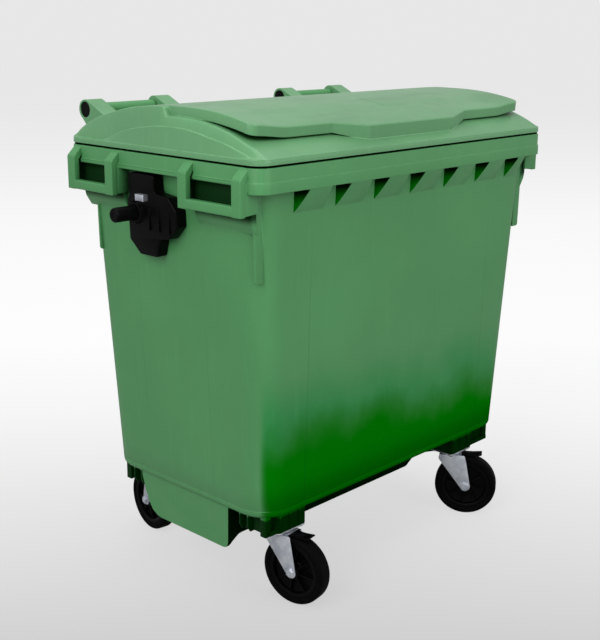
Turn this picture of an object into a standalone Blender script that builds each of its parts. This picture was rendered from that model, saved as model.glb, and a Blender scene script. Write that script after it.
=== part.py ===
# Four-wheeled refuse container, about 770 litres, with a domed lid, comb rim,
# side trunnions and four swivel castors.
# Metres, +Z up, ground at z = 0, front faces -Y, left is -X.
# HX and HY in a name mean half sizes along X and Y; R is a radius.
import math
import bpy
import bmesh
from mathutils import Matrix

for old in list(bpy.data.objects):
    bpy.data.objects.remove(old, do_unlink=True)

# ---------------------------------------------------------- shared dimensions
FRAME_Y = -0.00408     # shift that centres the bounding box front to back

# tub
RIM_HX, RIM_HY, RIM_R = 0.635, 0.3875, 0.047      # outside of the rim
Z_RIM_TOP = 1.242
Z_SKIRT_FRONT = 1.178                             # lower edge of the rim, front and back
Z_SKIRT_SIDE = 1.195                              # lower edge of the rim, sides
WALL_T = 0.005
Z_FLOOR = 0.275                                   # underside of the floor
Z_FLOOR_IN = 0.287                                # inside of the floor
Z_FLOOR_MID = (Z_FLOOR + Z_FLOOR_IN) / 2          # parts under the floor are rooted here
Z_BASE = 0.290                                    # height of the base sizes
BASE_HX, BASE_HY, BASE_R = 0.5585, 0.330, 0.090   # wall just above the floor
TOP_HX, TOP_HY, TOP_R = 0.600, 0.352, 0.070       # wall at the lower edge of the rim

# castors: swivel axis x and y, resting swivel angle of the trailing wheel (degrees)
CASTORS = {
    "fl": (-0.435, -0.270, -81.0),
    "fr": (0.368, -0.270, -58.0),
    "bl": (-0.405, 0.278, 82.0),
    "br": (0.385, 0.278, 62.0),
}
Z_MOUNT = 0.222                                   # underside of castor housings
BOLT_DX, BOLT_DY = 0.043, 0.033
BOLT_SPOTS = [(x, y) for x in (-BOLT_DX, BOLT_DX) for y in (-BOLT_DY, BOLT_DY)]

# hinge at the back and trunnions at the sides
HINGE_Y, HINGE_Z = 0.405, 1.330
HINGE_PIN_R, PIN_HEAD_R, PIN_GAP = 0.0100, 0.0225, 0.0004
LUGS = ((0.245, 0.300), (0.495, 0.552))           # |x| ranges of the lid lugs
TRUNNION_Y, TRUNNION_Z = 0.088, 1.082

# base colour, roughness, metallic
FINISHES = {
    "body_green": ((0.045, 0.240, 0.060), 0.45, 0.0),
    "lid_green": ((0.120, 0.330, 0.150), 0.45, 0.0),
    "black_plastic": ((0.010, 0.010, 0.011), 0.45, 0.0),
    "tyre_rubber": ((0.012, 0.012, 0.012), 0.80, 0.0),
    "zinc_steel": ((0.520, 0.560, 0.620), 0.35, 0.9),
}


# -------------------------------------------------------------------- objects
# A "solid" below is a (vertices, faces) pair.
def material(name, finish_name):
    color, roughness, metallic = FINISHES[finish_name]
    mat = bpy.data.materials.new(name)
    mat.use_nodes = True
    shader = mat.node_tree.nodes["Principled BSDF"]
    shader.inputs["Base Color"].default_value = (*color, 1.0)
    shader.inputs["Roughness"].default_value = roughness
    shader.inputs["Metallic"].default_value = metallic
    mat.diffuse_color = (*color, 1.0)
    return mat


def make(name, solid):
    """Bare object from a solid, with its normals turned outward."""
    mesh = bpy.data.meshes.new(name)
    mesh.from_pydata(solid[0], [], solid[1])
    bm = bmesh.new()
    bm.from_mesh(mesh)
    bmesh.ops.recalc_face_normals(bm, faces=bm.faces)
    bm.to_mesh(mesh)
    bm.free()
    ob = bpy.data.objects.new(name, mesh)
    bpy.context.scene.collection.objects.link(ob)
    return ob


def finish(ob, finish_name, parent, location=(0.0, 0.0, 0.0), rotation=(0.0, 0.0, 0.0)):
    """Give an object its own material, parent and place."""
    ob.data.materials.clear()
    ob.data.materials.append(material(finish_name + "__" + ob.name, finish_name))
    ob.parent = parent
    ob.location = location
    ob.rotation_euler = rotation


def piece(name, solid, *finish_args):
    finish(make(name, solid), *finish_args)


def empty(name, location, parent=None, turn=0.0):
    ob = bpy.data.objects.new(name, None)
    bpy.context.scene.collection.objects.link(ob)
    ob.location = location
    ob.rotation_euler = (0.0, 0.0, turn)
    ob.parent = parent
    return ob


def combine(ob, solids, operation):
    """Boolean of an object with a list of solids, baked into its mesh."""
    tools = []
    for i, solid in enumerate(solids):
        tool = make(ob.name + "_t%d" % i, solid)
        tool.hide_render = True
        mod = ob.modifiers.new("b%d" % i, "BOOLEAN")
        mod.operation = operation
        mod.solver = "EXACT"
        mod.object = tool
        tools.append(tool)
    depsgraph = bpy.context.evaluated_depsgraph_get()
    depsgraph.update()
    mesh = bpy.data.meshes.new_from_object(ob.evaluated_get(depsgraph), depsgraph=depsgraph)
    ob.modifiers.clear()
    ob.data = mesh
    for tool in tools:
        bpy.data.objects.remove(tool, do_unlink=True)
    bm = bmesh.new()
    bm.from_mesh(mesh)
    bmesh.ops.remove_doubles(bm, verts=bm.verts, dist=2e-6)
    bmesh.ops.dissolve_degenerate(bm, edges=bm.edges, dist=1e-6)
    bmesh.ops.triangulate(bm, faces=bm.faces)
    bm.to_mesh(mesh)
    bm.free()


def cut_solid(name, solid, cutters):
    """Solid left after cutting one solid with others."""
    ob = make(name, solid)
    combine(ob, cutters, "DIFFERENCE")
    result = ([tuple(v.co) for v in ob.data.vertices],
              [tuple(p.vertices) for p in ob.data.polygons])
    bpy.data.objects.remove(ob, do_unlink=True)
    return result


def drop_specks(ob, least=24):
    """Drop the tiny closed voids a union can leave: islands of fewer than `least` vertices."""
    bm = bmesh.new()
    bm.from_mesh(ob.data)
    left, dead = set(bm.verts), []
    while left:
        stack = [left.pop()]
        island = list(stack)
        while stack:
            for edge in stack.pop().link_edges:
                for vert in edge.verts:
                    if vert in left:
                        left.discard(vert)
                        island.append(vert)
                        stack.append(vert)
        if len(island) < least:
            dead += island
    bmesh.ops.delete(bm, geom=dead, context="VERTS")
    bm.to_mesh(ob.data)
    bm.free()


# --------------------------------------------------------------------- solids
def ring(half_x, half_y, radius, z, corner_steps=5, x_steps=4, y_steps=4):
    """Rounded rectangle loop; z is a number or a function of (x, y)."""
    points = []
    in_x, in_y = half_x - radius, half_y - radius
    centres = ((in_x, in_y), (-in_x, in_y), (-in_x, -in_y), (in_x, -in_y))
    for k, (x0, y0) in enumerate(centres):
        for i in range(corner_steps + 1):
            angle = math.radians(90.0 * k + 90.0 * i / corner_steps)
            points.append((x0 + radius * math.cos(angle), y0 + radius * math.sin(angle)))
        # straight side on to the next corner
        start_x, start_y = points[-1]
        next_x, next_y = centres[(k + 1) % 4]
        end_x = next_x + radius * math.cos(angle)
        end_y = next_y + radius * math.sin(angle)
        steps = x_steps if k % 2 == 0 else y_steps
        for i in range(1, steps):
            t = i / steps
            points.append((start_x + (end_x - start_x) * t, start_y + (end_y - start_y) * t))
    return [(x, y, z(x, y) if callable(z) else z) for x, y in points]


def loft(rings):
    """Solid through a stack of rings, capped at both ends."""
    count = len(rings[0])
    faces = [tuple(reversed(range(count)))]
    for k in range(len(rings) - 1):
        low, high = k * count, (k + 1) * count
        for i in range(count):
            j = (i + 1) % count
            faces.append((low + i, low + j, high + j, high + i))
    last = (len(rings) - 1) * count
    faces.append(tuple(last + i for i in range(count)))
    return [point for loop in rings for point in loop], faces


def prism(outline, axis, start, end):
    """Outline extruded along an axis: (y, z) for 'x', (x, z) for 'y', (x, y) for 'z'."""
    at = {"x": lambda p, t: (t, p[0], p[1]),
          "y": lambda p, t: (p[0], t, p[1]),
          "z": lambda p, t: (p[0], p[1], t)}[axis]
    count = len(outline)
    verts = [at(p, t) for t in (start, end) for p in outline]
    faces = [tuple(range(count)), tuple(count + i for i in reversed(range(count)))]
    faces += [(i, (i + 1) % count, count + (i + 1) % count, count + i) for i in range(count)]
    return verts, faces


def box(x0, x1, y0, y1, z0, z1):
    return prism(((x0, y0), (x1, y0), (x1, y1), (x0, y1)), "z", z0, z1)


def lathe(profile, count, axis="z", half_step=False):
    """Closed (radius, height) profile turned about an axis; radius 0 makes a pole."""
    verts, rows, faces = [], [], []
    offset = 0.5 if half_step else 0.0
    for radius, height in profile:
        if radius == 0.0:
            rows.append([len(verts)] * count)
            verts.append((0.0, 0.0, height))
            continue
        rows.append(list(range(len(verts), len(verts) + count)))
        for i in range(count):
            angle = 2.0 * math.pi * (i + offset) / count
            verts.append((radius * math.cos(angle), radius * math.sin(angle), height))
    for k, row in enumerate(rows):
        following = (k + 1) % len(rows)
        if profile[k][0] == 0.0 and profile[following][0] == 0.0:
            continue
        other = rows[following]
        for i in range(count):
            j = (i + 1) % count
            # a pole repeats its index, which turns the quad into a triangle
            faces.append(tuple(dict.fromkeys((row[i], row[j], other[j], other[i]))))
    if axis == "x":
        verts = [(h, a, b) for a, b, h in verts]
    elif axis == "y":
        verts = [(b, h, a) for a, b, h in verts]
    return verts, faces


def rod(radius, start, end, count=24, axis="z"):
    return lathe(((0.0, start), (radius, start), (radius, end), (0.0, end)), count, axis)


def shift(solid, dx=0.0, dy=0.0, dz=0.0):
    return [(x + dx, y + dy, z + dz) for x, y, z in solid[0]], solid[1]


def mirror(solid):
    return [(-x, y, z) for x, y, z in solid[0]], solid[1]


def both_sides(solids):
    return [mirror(solid) for solid in solids] + solids


def left_and_right(solid):
    """Name and solid for each side, from the solid of the right (+X) side."""
    return ("left", mirror(solid)), ("right", solid)


def hinge_rod(radius, x0, x1, count):
    """Rod on the hinge axis."""
    return shift(rod(radius, x0, x1, count, "x"), dy=HINGE_Y, dz=HINGE_Z)


def clamp(t):
    return min(max(t, 0.0), 1.0)


def curve_z(table, y):
    """Height on a (y, z) table sorted by falling y, smoothed between the points."""
    if y >= table[0][0]:
        return table[0][1]
    if y <= table[-1][0]:
        return table[-1][1]

    def slope(i):
        low, high = max(i - 1, 0), min(i + 1, len(table) - 1)
        return (table[high][1] - table[low][1]) / (table[high][0] - table[low][0])

    k = next(i for i in range(len(table) - 1) if table[i + 1][0] <= y)
    (y0, z0), (y1, z1) = table[k], table[k + 1]
    span = y1 - y0
    t = (y - y0) / span
    return ((2 * t ** 3 - 3 * t ** 2 + 1) * z0 + (t ** 3 - 2 * t ** 2 + t) * slope(k) * span
            + (-2 * t ** 3 + 3 * t ** 2) * z1 + (t ** 3 - t ** 2) * slope(k + 1) * span)


# -------------------------------------------------------------------- the tub
# wedges under the front rim; the last one is cut short at COMB_END
COMB_COUNT, COMB_PITCH, COMB_W, COMB_X0, COMB_END = 7, 0.158, 0.110, -0.480, 0.530
Z_COMB, COMB_DROP = 1.176, 0.060

# side handles
HANDLE_SPANS = ((0.150, 0.350), (-0.347, -0.117))   # y ranges: back, front
HANDLE_OUT = 0.660                                # |x| of the outer face
HANDLE_Z, HANDLE_BAR, HANDLE_POST = 1.122, 0.026, 0.032   # bottom, bar height, post width

FIN_YS, FIN_T = (-0.336, 0.300), 0.007            # tall thin fins near the corners

# sump running across under the floor: (y, z) outlines of its outside and its cavity
SUMP_HX, SUMP_END_T = 0.545, 0.006
SUMP = ((-0.172, 0.281), (-0.169, 0.235), (-0.163, 0.190), (-0.155, 0.172), (-0.140, 0.161),
        (-0.126, 0.159), (0.120, 0.159), (0.138, 0.161), (0.158, 0.170), (0.172, 0.186),
        (0.187, 0.216), (0.202, 0.262), (0.204, 0.281))
SUMP_IN = ((-0.165, 0.320), (-0.162, 0.236), (-0.156, 0.192), (-0.149, 0.178),
           (-0.136, 0.1685), (-0.126, 0.1665), (0.120, 0.1665), (0.135, 0.1685),
           (0.153, 0.176), (0.165, 0.190), (0.180, 0.219), (0.195, 0.264), (0.197, 0.320))
# space swept by a swivelling wheel and its pedal, about the swivel axis: (radius, z)
SWEEP = ((0.0, 0.120), (0.160, 0.120), (0.157, 0.130), (0.149, 0.150), (0.138, 0.165),
         (0.1225, 0.180), (0.111, 0.189), (0.111, 0.2135), (0.0, 0.2135))
# the same space grown by the sump wall, kept out of the cavity
SWEEP_IN = ((0.0, 0.112), (0.166, 0.112), (0.163, 0.130), (0.155, 0.152), (0.144, 0.168),
            (0.1285, 0.184), (0.117, 0.192), (0.117, 0.2195), (0.0, 0.2195))

# castor housings
BLOCK_HX, BLOCK_HY = 0.0525, 0.0425
HOUSING_X, HOUSING_Y = 0.5410, 0.3170             # outer ends of the ribs
RIB_T, STRIP_T = 0.005, 0.003
POST_X, POST_Y, POST_HALF = 0.5165, 0.2905, 0.011

# hinge knuckles between the lid lugs, and the arm that carries them: (y, z)
KNUCKLE_R = 0.0165
KNUCKLE_X0, KNUCKLE_X1 = LUGS[0][1] + 0.003, LUGS[1][0] - 0.003
ARM_W = 0.028
ARM = ((0.3848, 1.185), (0.4000, 1.185), (0.4170, 1.215), (0.4185, 1.325), (0.4140, 1.334),
       (0.3950, 1.334), (0.3905, 1.325), (0.3890, 1.237), (0.3848, 1.237))


def wall(z, inset=0.0):
    """Half sizes and corner radius of the tapering wall at a height."""
    t = (z - Z_BASE) / (Z_SKIRT_FRONT - Z_BASE)
    return (BASE_HX + (TOP_HX - BASE_HX) * t - inset, BASE_HY + (TOP_HY - BASE_HY) * t - inset,
            BASE_R + (TOP_R - BASE_R) * t - inset)


def wall_ring(z, inset=0.0):
    return ring(*wall(z, inset), z)


def rim_ring(inset, z):
    return ring(RIM_HX - inset, RIM_HY - inset, RIM_R - inset, z)


def skirt_z(x, y):
    """Lower edge of the rim, higher along the sides."""
    t = clamp((abs(x) - 0.612) / 0.010) * clamp((0.345 - abs(y)) / 0.004)
    return Z_SKIRT_FRONT + (Z_SKIRT_SIDE - Z_SKIRT_FRONT) * t


def tub_shell():
    """Up the outside of the wall, around the rim and down the inside to the floor."""
    return loft([
        ring(0.535, 0.3065, 0.070, Z_FLOOR), ring(0.549, 0.3205, 0.082, 0.2785),
        wall_ring(Z_BASE), wall_ring(0.700), wall_ring(1.100), wall_ring(1.232),
        rim_ring(0.005, 1.232), rim_ring(0.005, skirt_z),
        rim_ring(0.0, skirt_z), rim_ring(0.0, 1.206),
        rim_ring(0.0025, 1.2085), rim_ring(0.0025, 1.239),
        rim_ring(0.005, Z_RIM_TOP), ring(0.6000, 0.3525, 0.062, Z_RIM_TOP),
        wall_ring(1.236, WALL_T), wall_ring(1.100, WALL_T), wall_ring(0.700, WALL_T),
        wall_ring(0.300, WALL_T), ring(0.538, 0.3095, 0.073, Z_FLOOR_IN)])


def comb_wedges():
    """Wedges between the wall and the front rim."""
    z_low = Z_COMB - COMB_DROP
    outline = ((-0.348, 1.185), (-0.3845, 1.185), (-0.3865, Z_COMB), (-0.3505, z_low),
               (-0.347, z_low))
    starts = [COMB_X0 + i * COMB_PITCH for i in range(COMB_COUNT)]
    return [prism(outline, "x", x, min(x + COMB_W, COMB_END)) for x in starts]


def handle(y0, y1):
    """Right side handle: two posts on thin webs, a grip bar and a pad behind."""
    out, low, high = HANDLE_OUT, HANDLE_Z, HANDLE_Z + HANDLE_BAR
    post = ((out - 0.018, low), (out - 0.004, low), (out, low + 0.004), (out, 1.2100),
            (out - 0.004, 1.2165), (0.6335, 1.2380), (0.6300, 1.2380), (0.6300, 1.2215),
            (out - 0.018, 1.2030))
    web = ((0.5970, low + 0.006), (out - 0.006, low + 0.002), (out - 0.006, 1.2120),
           (0.6335, 1.2360), (0.5985, 1.2360))
    bar = ((out - 0.022, low + 0.001), (out - 0.0045, low + 0.001), (out - 0.001, low + 0.0045),
           (out - 0.001, high), (out - 0.022, high))
    # thick pad on the wall, feathering out below
    pad = ((0.5955, 1.190), (0.6140, 1.190), (0.6140, 1.112), (0.5915, 1.075))
    return [prism(post, "y", y0, y0 + HANDLE_POST), prism(web, "y", y0 + 0.001, y0 + 0.009),
            prism(post, "y", y1 - HANDLE_POST, y1), prism(web, "y", y1 - 0.009, y1 - 0.001),
            prism(bar, "y", y0 + 0.010, y1 - 0.010), prism(pad, "y", y0 + 0.012, y1 - 0.012)]


def corner_fins():
    outline = ((0.565, 1.185), (0.6090, 1.185), (0.6020, 0.945), (0.565, 0.945))
    return [prism(outline, "y", y - FIN_T / 2, y + FIN_T / 2) for y in FIN_YS]


def sump_cavity():
    cavity_hx = SUMP_HX - SUMP_END_T
    return cut_solid("sump_well", prism(SUMP_IN, "x", -cavity_hx, cavity_hx),
                     [shift(lathe(SWEEP_IN, 36), x, y) for x, y, _ in CASTORS.values()])


def rib_outline(start, outer, bevel):
    low = Z_MOUNT + 0.001
    return ((start, Z_FLOOR_MID), (outer, Z_FLOOR_MID), (outer, 0.240), (outer - bevel, low),
            (start, low))


def castor_housing(x, y):
    """Bolting block, ribs out to both edges, corner post and a thin strip along Y's edge."""
    sign_x, sign_y = math.copysign(1, x), math.copysign(1, y)
    outer_x, outer_y = sign_x * HOUSING_X, sign_y * HOUSING_Y
    solids = [box(x - BLOCK_HX, x + BLOCK_HX, y - BLOCK_HY, y + BLOCK_HY, Z_MOUNT, Z_FLOOR_MID)]
    for rib_y in (sign_y * 0.214, sign_y * 0.245):
        solids.append(prism(rib_outline(x, outer_x, sign_x * 0.010), "y",
                            rib_y - RIB_T / 2, rib_y + RIB_T / 2))
    for rib_x in (x - 0.048, x - 0.010, x + 0.028):
        solids.append(prism(rib_outline(y, outer_y, sign_y * 0.005), "x",
                            rib_x - RIB_T / 2, rib_x + RIB_T / 2))
    post_x, post_y = sign_x * POST_X, sign_y * POST_Y
    solids.append(box(post_x - POST_HALF, post_x + POST_HALF, post_y - POST_HALF,
                      post_y + POST_HALF, Z_MOUNT - 0.004, 0.2805))
    strip_x0, strip_x1 = sorted((x - sign_x * 0.045, post_x))
    strip_y = outer_y - sign_y * 0.0095
    solids.append(box(strip_x0, strip_x1, strip_y - STRIP_T / 2, strip_y + STRIP_T / 2,
                      Z_MOUNT + 0.001, Z_MOUNT + 0.014))
    return solids


def housing_holes(x, y):
    """Kingpin pocket and bolt holes."""
    start = Z_MOUNT - 0.002
    return [shift(rod(0.0135, start, Z_MOUNT + 0.009, 20), x, y)] + [
        shift(rod(0.0043, start, Z_MOUNT + 0.024, 12), x + dx, y + dy) for dx, dy in BOLT_SPOTS]


def hinge_knuckle():
    """Right knuckle and its two arms on the back rim."""
    arms = [prism(ARM, "x", x, x + ARM_W) for x in (KNUCKLE_X0 + 0.006, KNUCKLE_X1 - 0.034)]
    return [hinge_rod(KNUCKLE_R, KNUCKLE_X0, KNUCKLE_X1, 24)] + arms


def build_tub(parent):
    tub = make("body_tub", tub_shell())
    side_parts = [part for span in HANDLE_SPANS for part in handle(*span)] + corner_fins()
    adds = comb_wedges() + both_sides(side_parts) + [prism(SUMP, "x", -SUMP_HX, SUMP_HX)]
    cuts = [sump_cavity()]
    cuts += [shift(lathe(SWEEP, 36), x, y) for x, y, _ in CASTORS.values()]
    for x, y, _ in CASTORS.values():
        adds += castor_housing(x, y)
        cuts += housing_holes(x, y)
    adds += both_sides(hinge_knuckle())
    cuts += both_sides([hinge_rod(HINGE_PIN_R + PIN_GAP, KNUCKLE_X0 - 0.01, KNUCKLE_X1 + 0.01,
                                  20)])
    combine(tub, adds, "UNION")
    combine(tub, cuts, "DIFFERENCE")
    finish(tub, "body_green", parent)


# -------------------------------------------------------------------- the lid
LID_HX, LID_HY, LID_R, LID_T = 0.632, 0.3845, 0.044, 0.004
Z_LID_LOW, Z_BAND = 1.2436, 1.262                 # bottom and top of the upright edge band
LUG_R = 0.028
# distances in from the edge of the rings that shape the dome
LID_STEPS = (0.0, 0.005, 0.014, 0.024, 0.032, 0.052, 0.084, 0.130, 0.190, 0.270, 0.3745)
# raised level of the lid behind the notch and base level in front of it: (y, z)
NOTCH_BACK_Y, NOTCH_FRONT_Y = -0.006, -0.022
LID_RAISED = ((0.3845, 1.262), (0.372, 1.270), (0.354, 1.285), (0.304, 1.311), (0.253, 1.328),
              (0.199, 1.342), (0.138, 1.355), (0.074, 1.363), (0.021, 1.367), (-0.003, 1.368))
LID_BASE = ((-0.026, 1.344), (-0.084, 1.343), (-0.141, 1.339), (-0.197, 1.330),
            (-0.251, 1.317), (-0.303, 1.299), (-0.340, 1.284), (-0.368, 1.270),
            (-0.3845, 1.262))

# raised panel over the front half: (y, z) of its top along the middle and at the ends
PANEL_MID = ((0.020, 1.3682), (-0.003, 1.3686), (-0.050, 1.3680), (-0.100, 1.3660),
             (-0.140, 1.3625), (-0.190, 1.3560), (-0.230, 1.3475), (-0.262, 1.3405),
             (-0.300, 1.3320), (-0.352, 1.3170))
PANEL_END = ((0.020, 1.3682), (-0.003, 1.3686), (-0.050, 1.3685), (-0.100, 1.3680),
             (-0.140, 1.3665), (-0.190, 1.3625), (-0.230, 1.3570), (-0.262, 1.3515),
             (-0.300, 1.3430), (-0.352, 1.3280))
PANEL_BACK, PANEL_FRONT, PANEL_SETBACK = 0.014, -0.352, 0.037
PANEL_CORNER_X, PANEL_CORNER_R = 0.540, 0.045
PANEL_T_SIDE, PANEL_T_MID = 0.024, 0.046          # depth of the lip
PANEL_ROWS = 11
# |x| of the panel's columns either side of the middle one
PANEL_XS = (0.1013, 0.1853, 0.2123, 0.2403, 0.2683, 0.2953, 0.4513, 0.5013, 0.5403, 0.5563,
            0.5683, 0.5763, 0.5797)


def lid_level(y):
    """Top of the lid along the middle, stepping down at the notch."""
    if y >= NOTCH_BACK_Y:
        return curve_z(LID_RAISED, y)
    if y <= NOTCH_FRONT_Y:
        return curve_z(LID_BASE, y)
    t = (y - NOTCH_BACK_Y) / (NOTCH_FRONT_Y - NOTCH_BACK_Y)
    return LID_RAISED[-1][1] * (1 - t) + LID_BASE[0][1] * t


def lid_height(x, y):
    """Top of the lid, falling to the band at the sides."""
    return Z_BAND + (lid_level(y) - Z_BAND) * clamp((0.6265 - abs(x)) / 0.026)


def lid_inner_height(x, y):
    return lid_height(abs(x) + LID_T * 1.2, y) - LID_T


def lid_ring(half_x, half_y, radius, z):
    return ring(half_x, half_y, radius, z, corner_steps=3, x_steps=2, y_steps=14)


def band_ring(inset, z):
    return lid_ring(LID_HX - inset, LID_HY - inset, LID_R - inset, z)


def dome_ring(inset, z):
    half_y = LID_HY - 0.002 - inset
    radius = min(max(LID_R - 0.003 - inset, 0.006), half_y * 0.9)
    return lid_ring(LID_HX - 0.004 - inset, half_y, radius, z)


def lid_shell():
    """From the middle of the inside, out around the edge band, to the middle of the top."""
    z_band_top = Z_BAND - 0.003
    inner = [dome_ring(step + LID_T, lid_inner_height) for step in reversed(LID_STEPS)]
    inner += [band_ring(LID_T, z_band_top - LID_T), band_ring(LID_T, Z_LID_LOW)]
    outer = [band_ring(0.0, Z_LID_LOW), band_ring(0.0, z_band_top)]
    outer += [dome_ring(step, lid_height) for step in LID_STEPS]
    return loft(inner + outer)


def side_blend(dist):
    """0 in the middle stretch of the panel, 1 in its side stretches; dist is |x|."""
    return clamp((dist - 0.185) / 0.110)


def panel_front(dist):
    """Front edge: furthest forward in the middle, rounded back at the outer corners."""
    y = PANEL_FRONT + PANEL_SETBACK * side_blend(dist)
    if dist > PANEL_CORNER_X:
        t = (dist - PANEL_CORNER_X) / PANEL_CORNER_R
        y += PANEL_CORNER_R * (1 - math.sqrt(max(1 - t ** 2, 0.0)))
    return y


def panel_top(dist, y):
    t = clamp((dist - 0.450) / 0.135)
    t = t * t * (3 - 2 * t)
    return curve_z(PANEL_MID, y) * (1 - t) + curve_z(PANEL_END, y) * t


def panel_lip(dist, y):
    """Depth of the turned-down lip; it thins out to the front outer corners."""
    t = side_blend(dist)
    depth = PANEL_T_MID * (1 - t) + PANEL_T_SIDE * t
    tip = clamp((dist - 0.545) / 0.040) * clamp((-0.245 - y) / 0.040)
    return depth * (1 - 0.72 * tip)


def panel_solid():
    """Raised panel with turned-down lips, its underside just inside the lid."""
    xs = [-x for x in reversed(PANEL_XS)] + [0.0] + list(PANEL_XS)
    rows, columns = PANEL_ROWS, len(xs) - 1
    top, bottom = [], []
    for x in xs:
        dist = abs(x)
        y_front = panel_front(dist)
        for j in range(rows + 1):
            y = PANEL_BACK + (y_front - PANEL_BACK) * j / rows
            z = panel_top(dist, y)
            top.append((x, y, z))
            y_low = y + (0.002 if j == rows else 0.0)
            z_low = max(z - panel_lip(dist, y), lid_level(y_low) - 0.0022)
            bottom.append((x, y_low, z_low))
    width, under = rows + 1, len(top)
    faces = []
    for i in range(columns):
        a, b = i * width, (i + 1) * width
        for j in range(rows):
            quad = (a + j, b + j, b + j + 1, a + j + 1)
            faces.append(quad)
            faces.append(tuple(under + k for k in reversed(quad)))
        faces.append((a, under + a, under + b, b))
        faces.append((a + rows, b + rows, under + b + rows, under + a + rows))
    last = columns * width
    for j in range(rows):
        faces.append((j, j + 1, under + j + 1, under + j))
        faces.append((last + j, under + last + j, under + last + j + 1, last + j + 1))
    return top + bottom, faces


def lug_outline():
    """(y, z) outline of a hinge lug: an arc about the pin and a tail along the lid."""
    points = []
    for k in range(13):
        angle = math.radians(-60 + 14.5 * k)
        points.append((HINGE_Y + LUG_R * math.cos(angle), HINGE_Z + LUG_R * math.sin(angle)))
    return points + [(0.300, 1.3115), (0.290, 1.309), (0.336, 1.288), (0.3810, 1.2585),
                     (0.3930, 1.2750), (0.4040, 1.2900)]


def build_lid(parent):
    lid = make("lid", lid_shell())
    lugs = [prism(lug_outline(), "x", x0, x1) for x0, x1 in LUGS]
    bores = [hinge_rod(HINGE_PIN_R + PIN_GAP, x0 - 0.01, x1 + 0.01, 20) for x0, x1 in LUGS]
    bores.append(hinge_rod(PIN_HEAD_R + PIN_GAP, 0.544, 0.562, 28))
    combine(lid, [panel_solid()] + both_sides(lugs), "UNION")
    combine(lid, both_sides(bores), "DIFFERENCE")
    drop_specks(lid)
    # the mesh is moved so that the lid's origin lies on the hinge axis
    lid.data.transform(Matrix.Translation((0.0, -HINGE_Y, -HINGE_Z)))
    finish(lid, "lid_green", parent)


def build_hinge_pins(parent):
    """Hinge pins, headed at the outer end."""
    x0, head_x0, head_x1 = 0.247, 0.5444, 0.5500
    pin = lathe(((0.0, x0), (HINGE_PIN_R - 0.001, x0), (HINGE_PIN_R, x0 + 0.001),
                 (HINGE_PIN_R, head_x0), (PIN_HEAD_R, head_x0), (PIN_HEAD_R, head_x1),
                 (0.0, head_x1)), 24, "x")
    for side, solid in left_and_right(pin):
        piece("hinge_pin_" + side, solid, "black_plastic", parent, (0.0, HINGE_Y, HINGE_Z))


# ------------------------------------------------------------------ trunnions
TRUNNION_R, TRUNNION_TIP, TRUNNION_ROOT_R = 0.020, 0.706, 0.016
BRACKET_IN, BRACKET_OUT = 0.0006, 0.0360          # distances from the tub wall
BRACKET = (                                       # (y, z) outline
    (0.113, 1.188), (0.113, 1.126), (0.121, 1.116), (0.121, 1.005), (0.080, 0.968),
    (0.010, 0.968), (-0.006, 1.020), (-0.042, 1.024), (-0.078, 1.060), (-0.078, 1.103),
    (-0.048, 1.136), (0.006, 1.142), (0.006, 1.188))
LOCK_Y, LOCK_Z, LOCK_GAP = (0.033, 0.067), (1.118, 1.136), 0.0005


def trunnion_bracket():
    """Slab that follows the sloping wall, with a pin bore and a pocket for the lock."""
    verts = [(wall(z)[0] + offset, y, z)
             for offset in (BRACKET_IN, BRACKET_OUT) for y, z in BRACKET]
    faces = prism(BRACKET, "x", BRACKET_IN, BRACKET_OUT)[1]
    bore = shift(rod(TRUNNION_ROOT_R + 0.0003, 0.570, 0.660, 24, "x"),
                 dy=TRUNNION_Y, dz=TRUNNION_Z)
    pocket = box(0.6195, 0.6600, LOCK_Y[0] - LOCK_GAP, LOCK_Y[1] + LOCK_GAP,
                 LOCK_Z[0] - LOCK_GAP, LOCK_Z[1] + LOCK_GAP)
    return cut_solid("trunnion_blank", (verts, faces), [bore, pocket])


def trunnion_pin():
    return lathe(((0.0, 0.606), (TRUNNION_ROOT_R, 0.606), (TRUNNION_ROOT_R, 0.6404),
                  (0.0225, 0.6404), (TRUNNION_R, 0.650), (TRUNNION_R, TRUNNION_TIP - 0.004),
                  (TRUNNION_R - 0.004, TRUNNION_TIP), (0.0, TRUNNION_TIP)),
                 32, "x", half_step=True)


def build_trunnions(parent):
    for side, solid in left_and_right(trunnion_bracket()):
        piece("trunnion_bracket_" + side, solid, "black_plastic", parent)
    for side, solid in left_and_right(trunnion_pin()):
        piece("trunnion_pin_" + side, solid, "black_plastic", parent,
              (0.0, TRUNNION_Y, TRUNNION_Z))
    for side, solid in left_and_right(box(0.6225, 0.650, *LOCK_Y, *LOCK_Z)):
        piece("trunnion_lock_" + side, solid, "zinc_steel", parent)


# -------------------------------------------------------------------- castors
TRAIL, WHEEL_R, TYRE_W, TYRE_SIDES = 0.055, 0.100, 0.046, 32
PLATE_HX, PLATE_HY, PLATE_T, PLATE_CHAMFER = 0.055, 0.045, 0.004, 0.008
Z_PLATE = Z_MOUNT - 0.0003 - PLATE_T              # underside of the plate
Z_CROWN = 0.2065                                  # top of the fork
CHEEK_IN, CHEEK_OUT = 0.0285, 0.0315              # |y| of the fork cheeks' faces

# (radius, z) about the swivel axis
# kingpin: head in the housing pocket, shank down to a riveted end under the crown
KINGPIN = ((0.0, 0.1945), (0.0100, 0.1945), (0.0110, 0.1960), (0.0110, 0.2020),
           (0.0062, 0.2020), (0.0062, 0.2222), (0.0120, 0.2222), (0.0120, 0.2290),
           (0.0, 0.2290))
RACE = ((0.0068, 0.2070), (0.0300, 0.2070), (0.0360, 0.2095), (0.0360, 0.2150),
        (0.0320, 0.2173), (0.0068, 0.2173))
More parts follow.
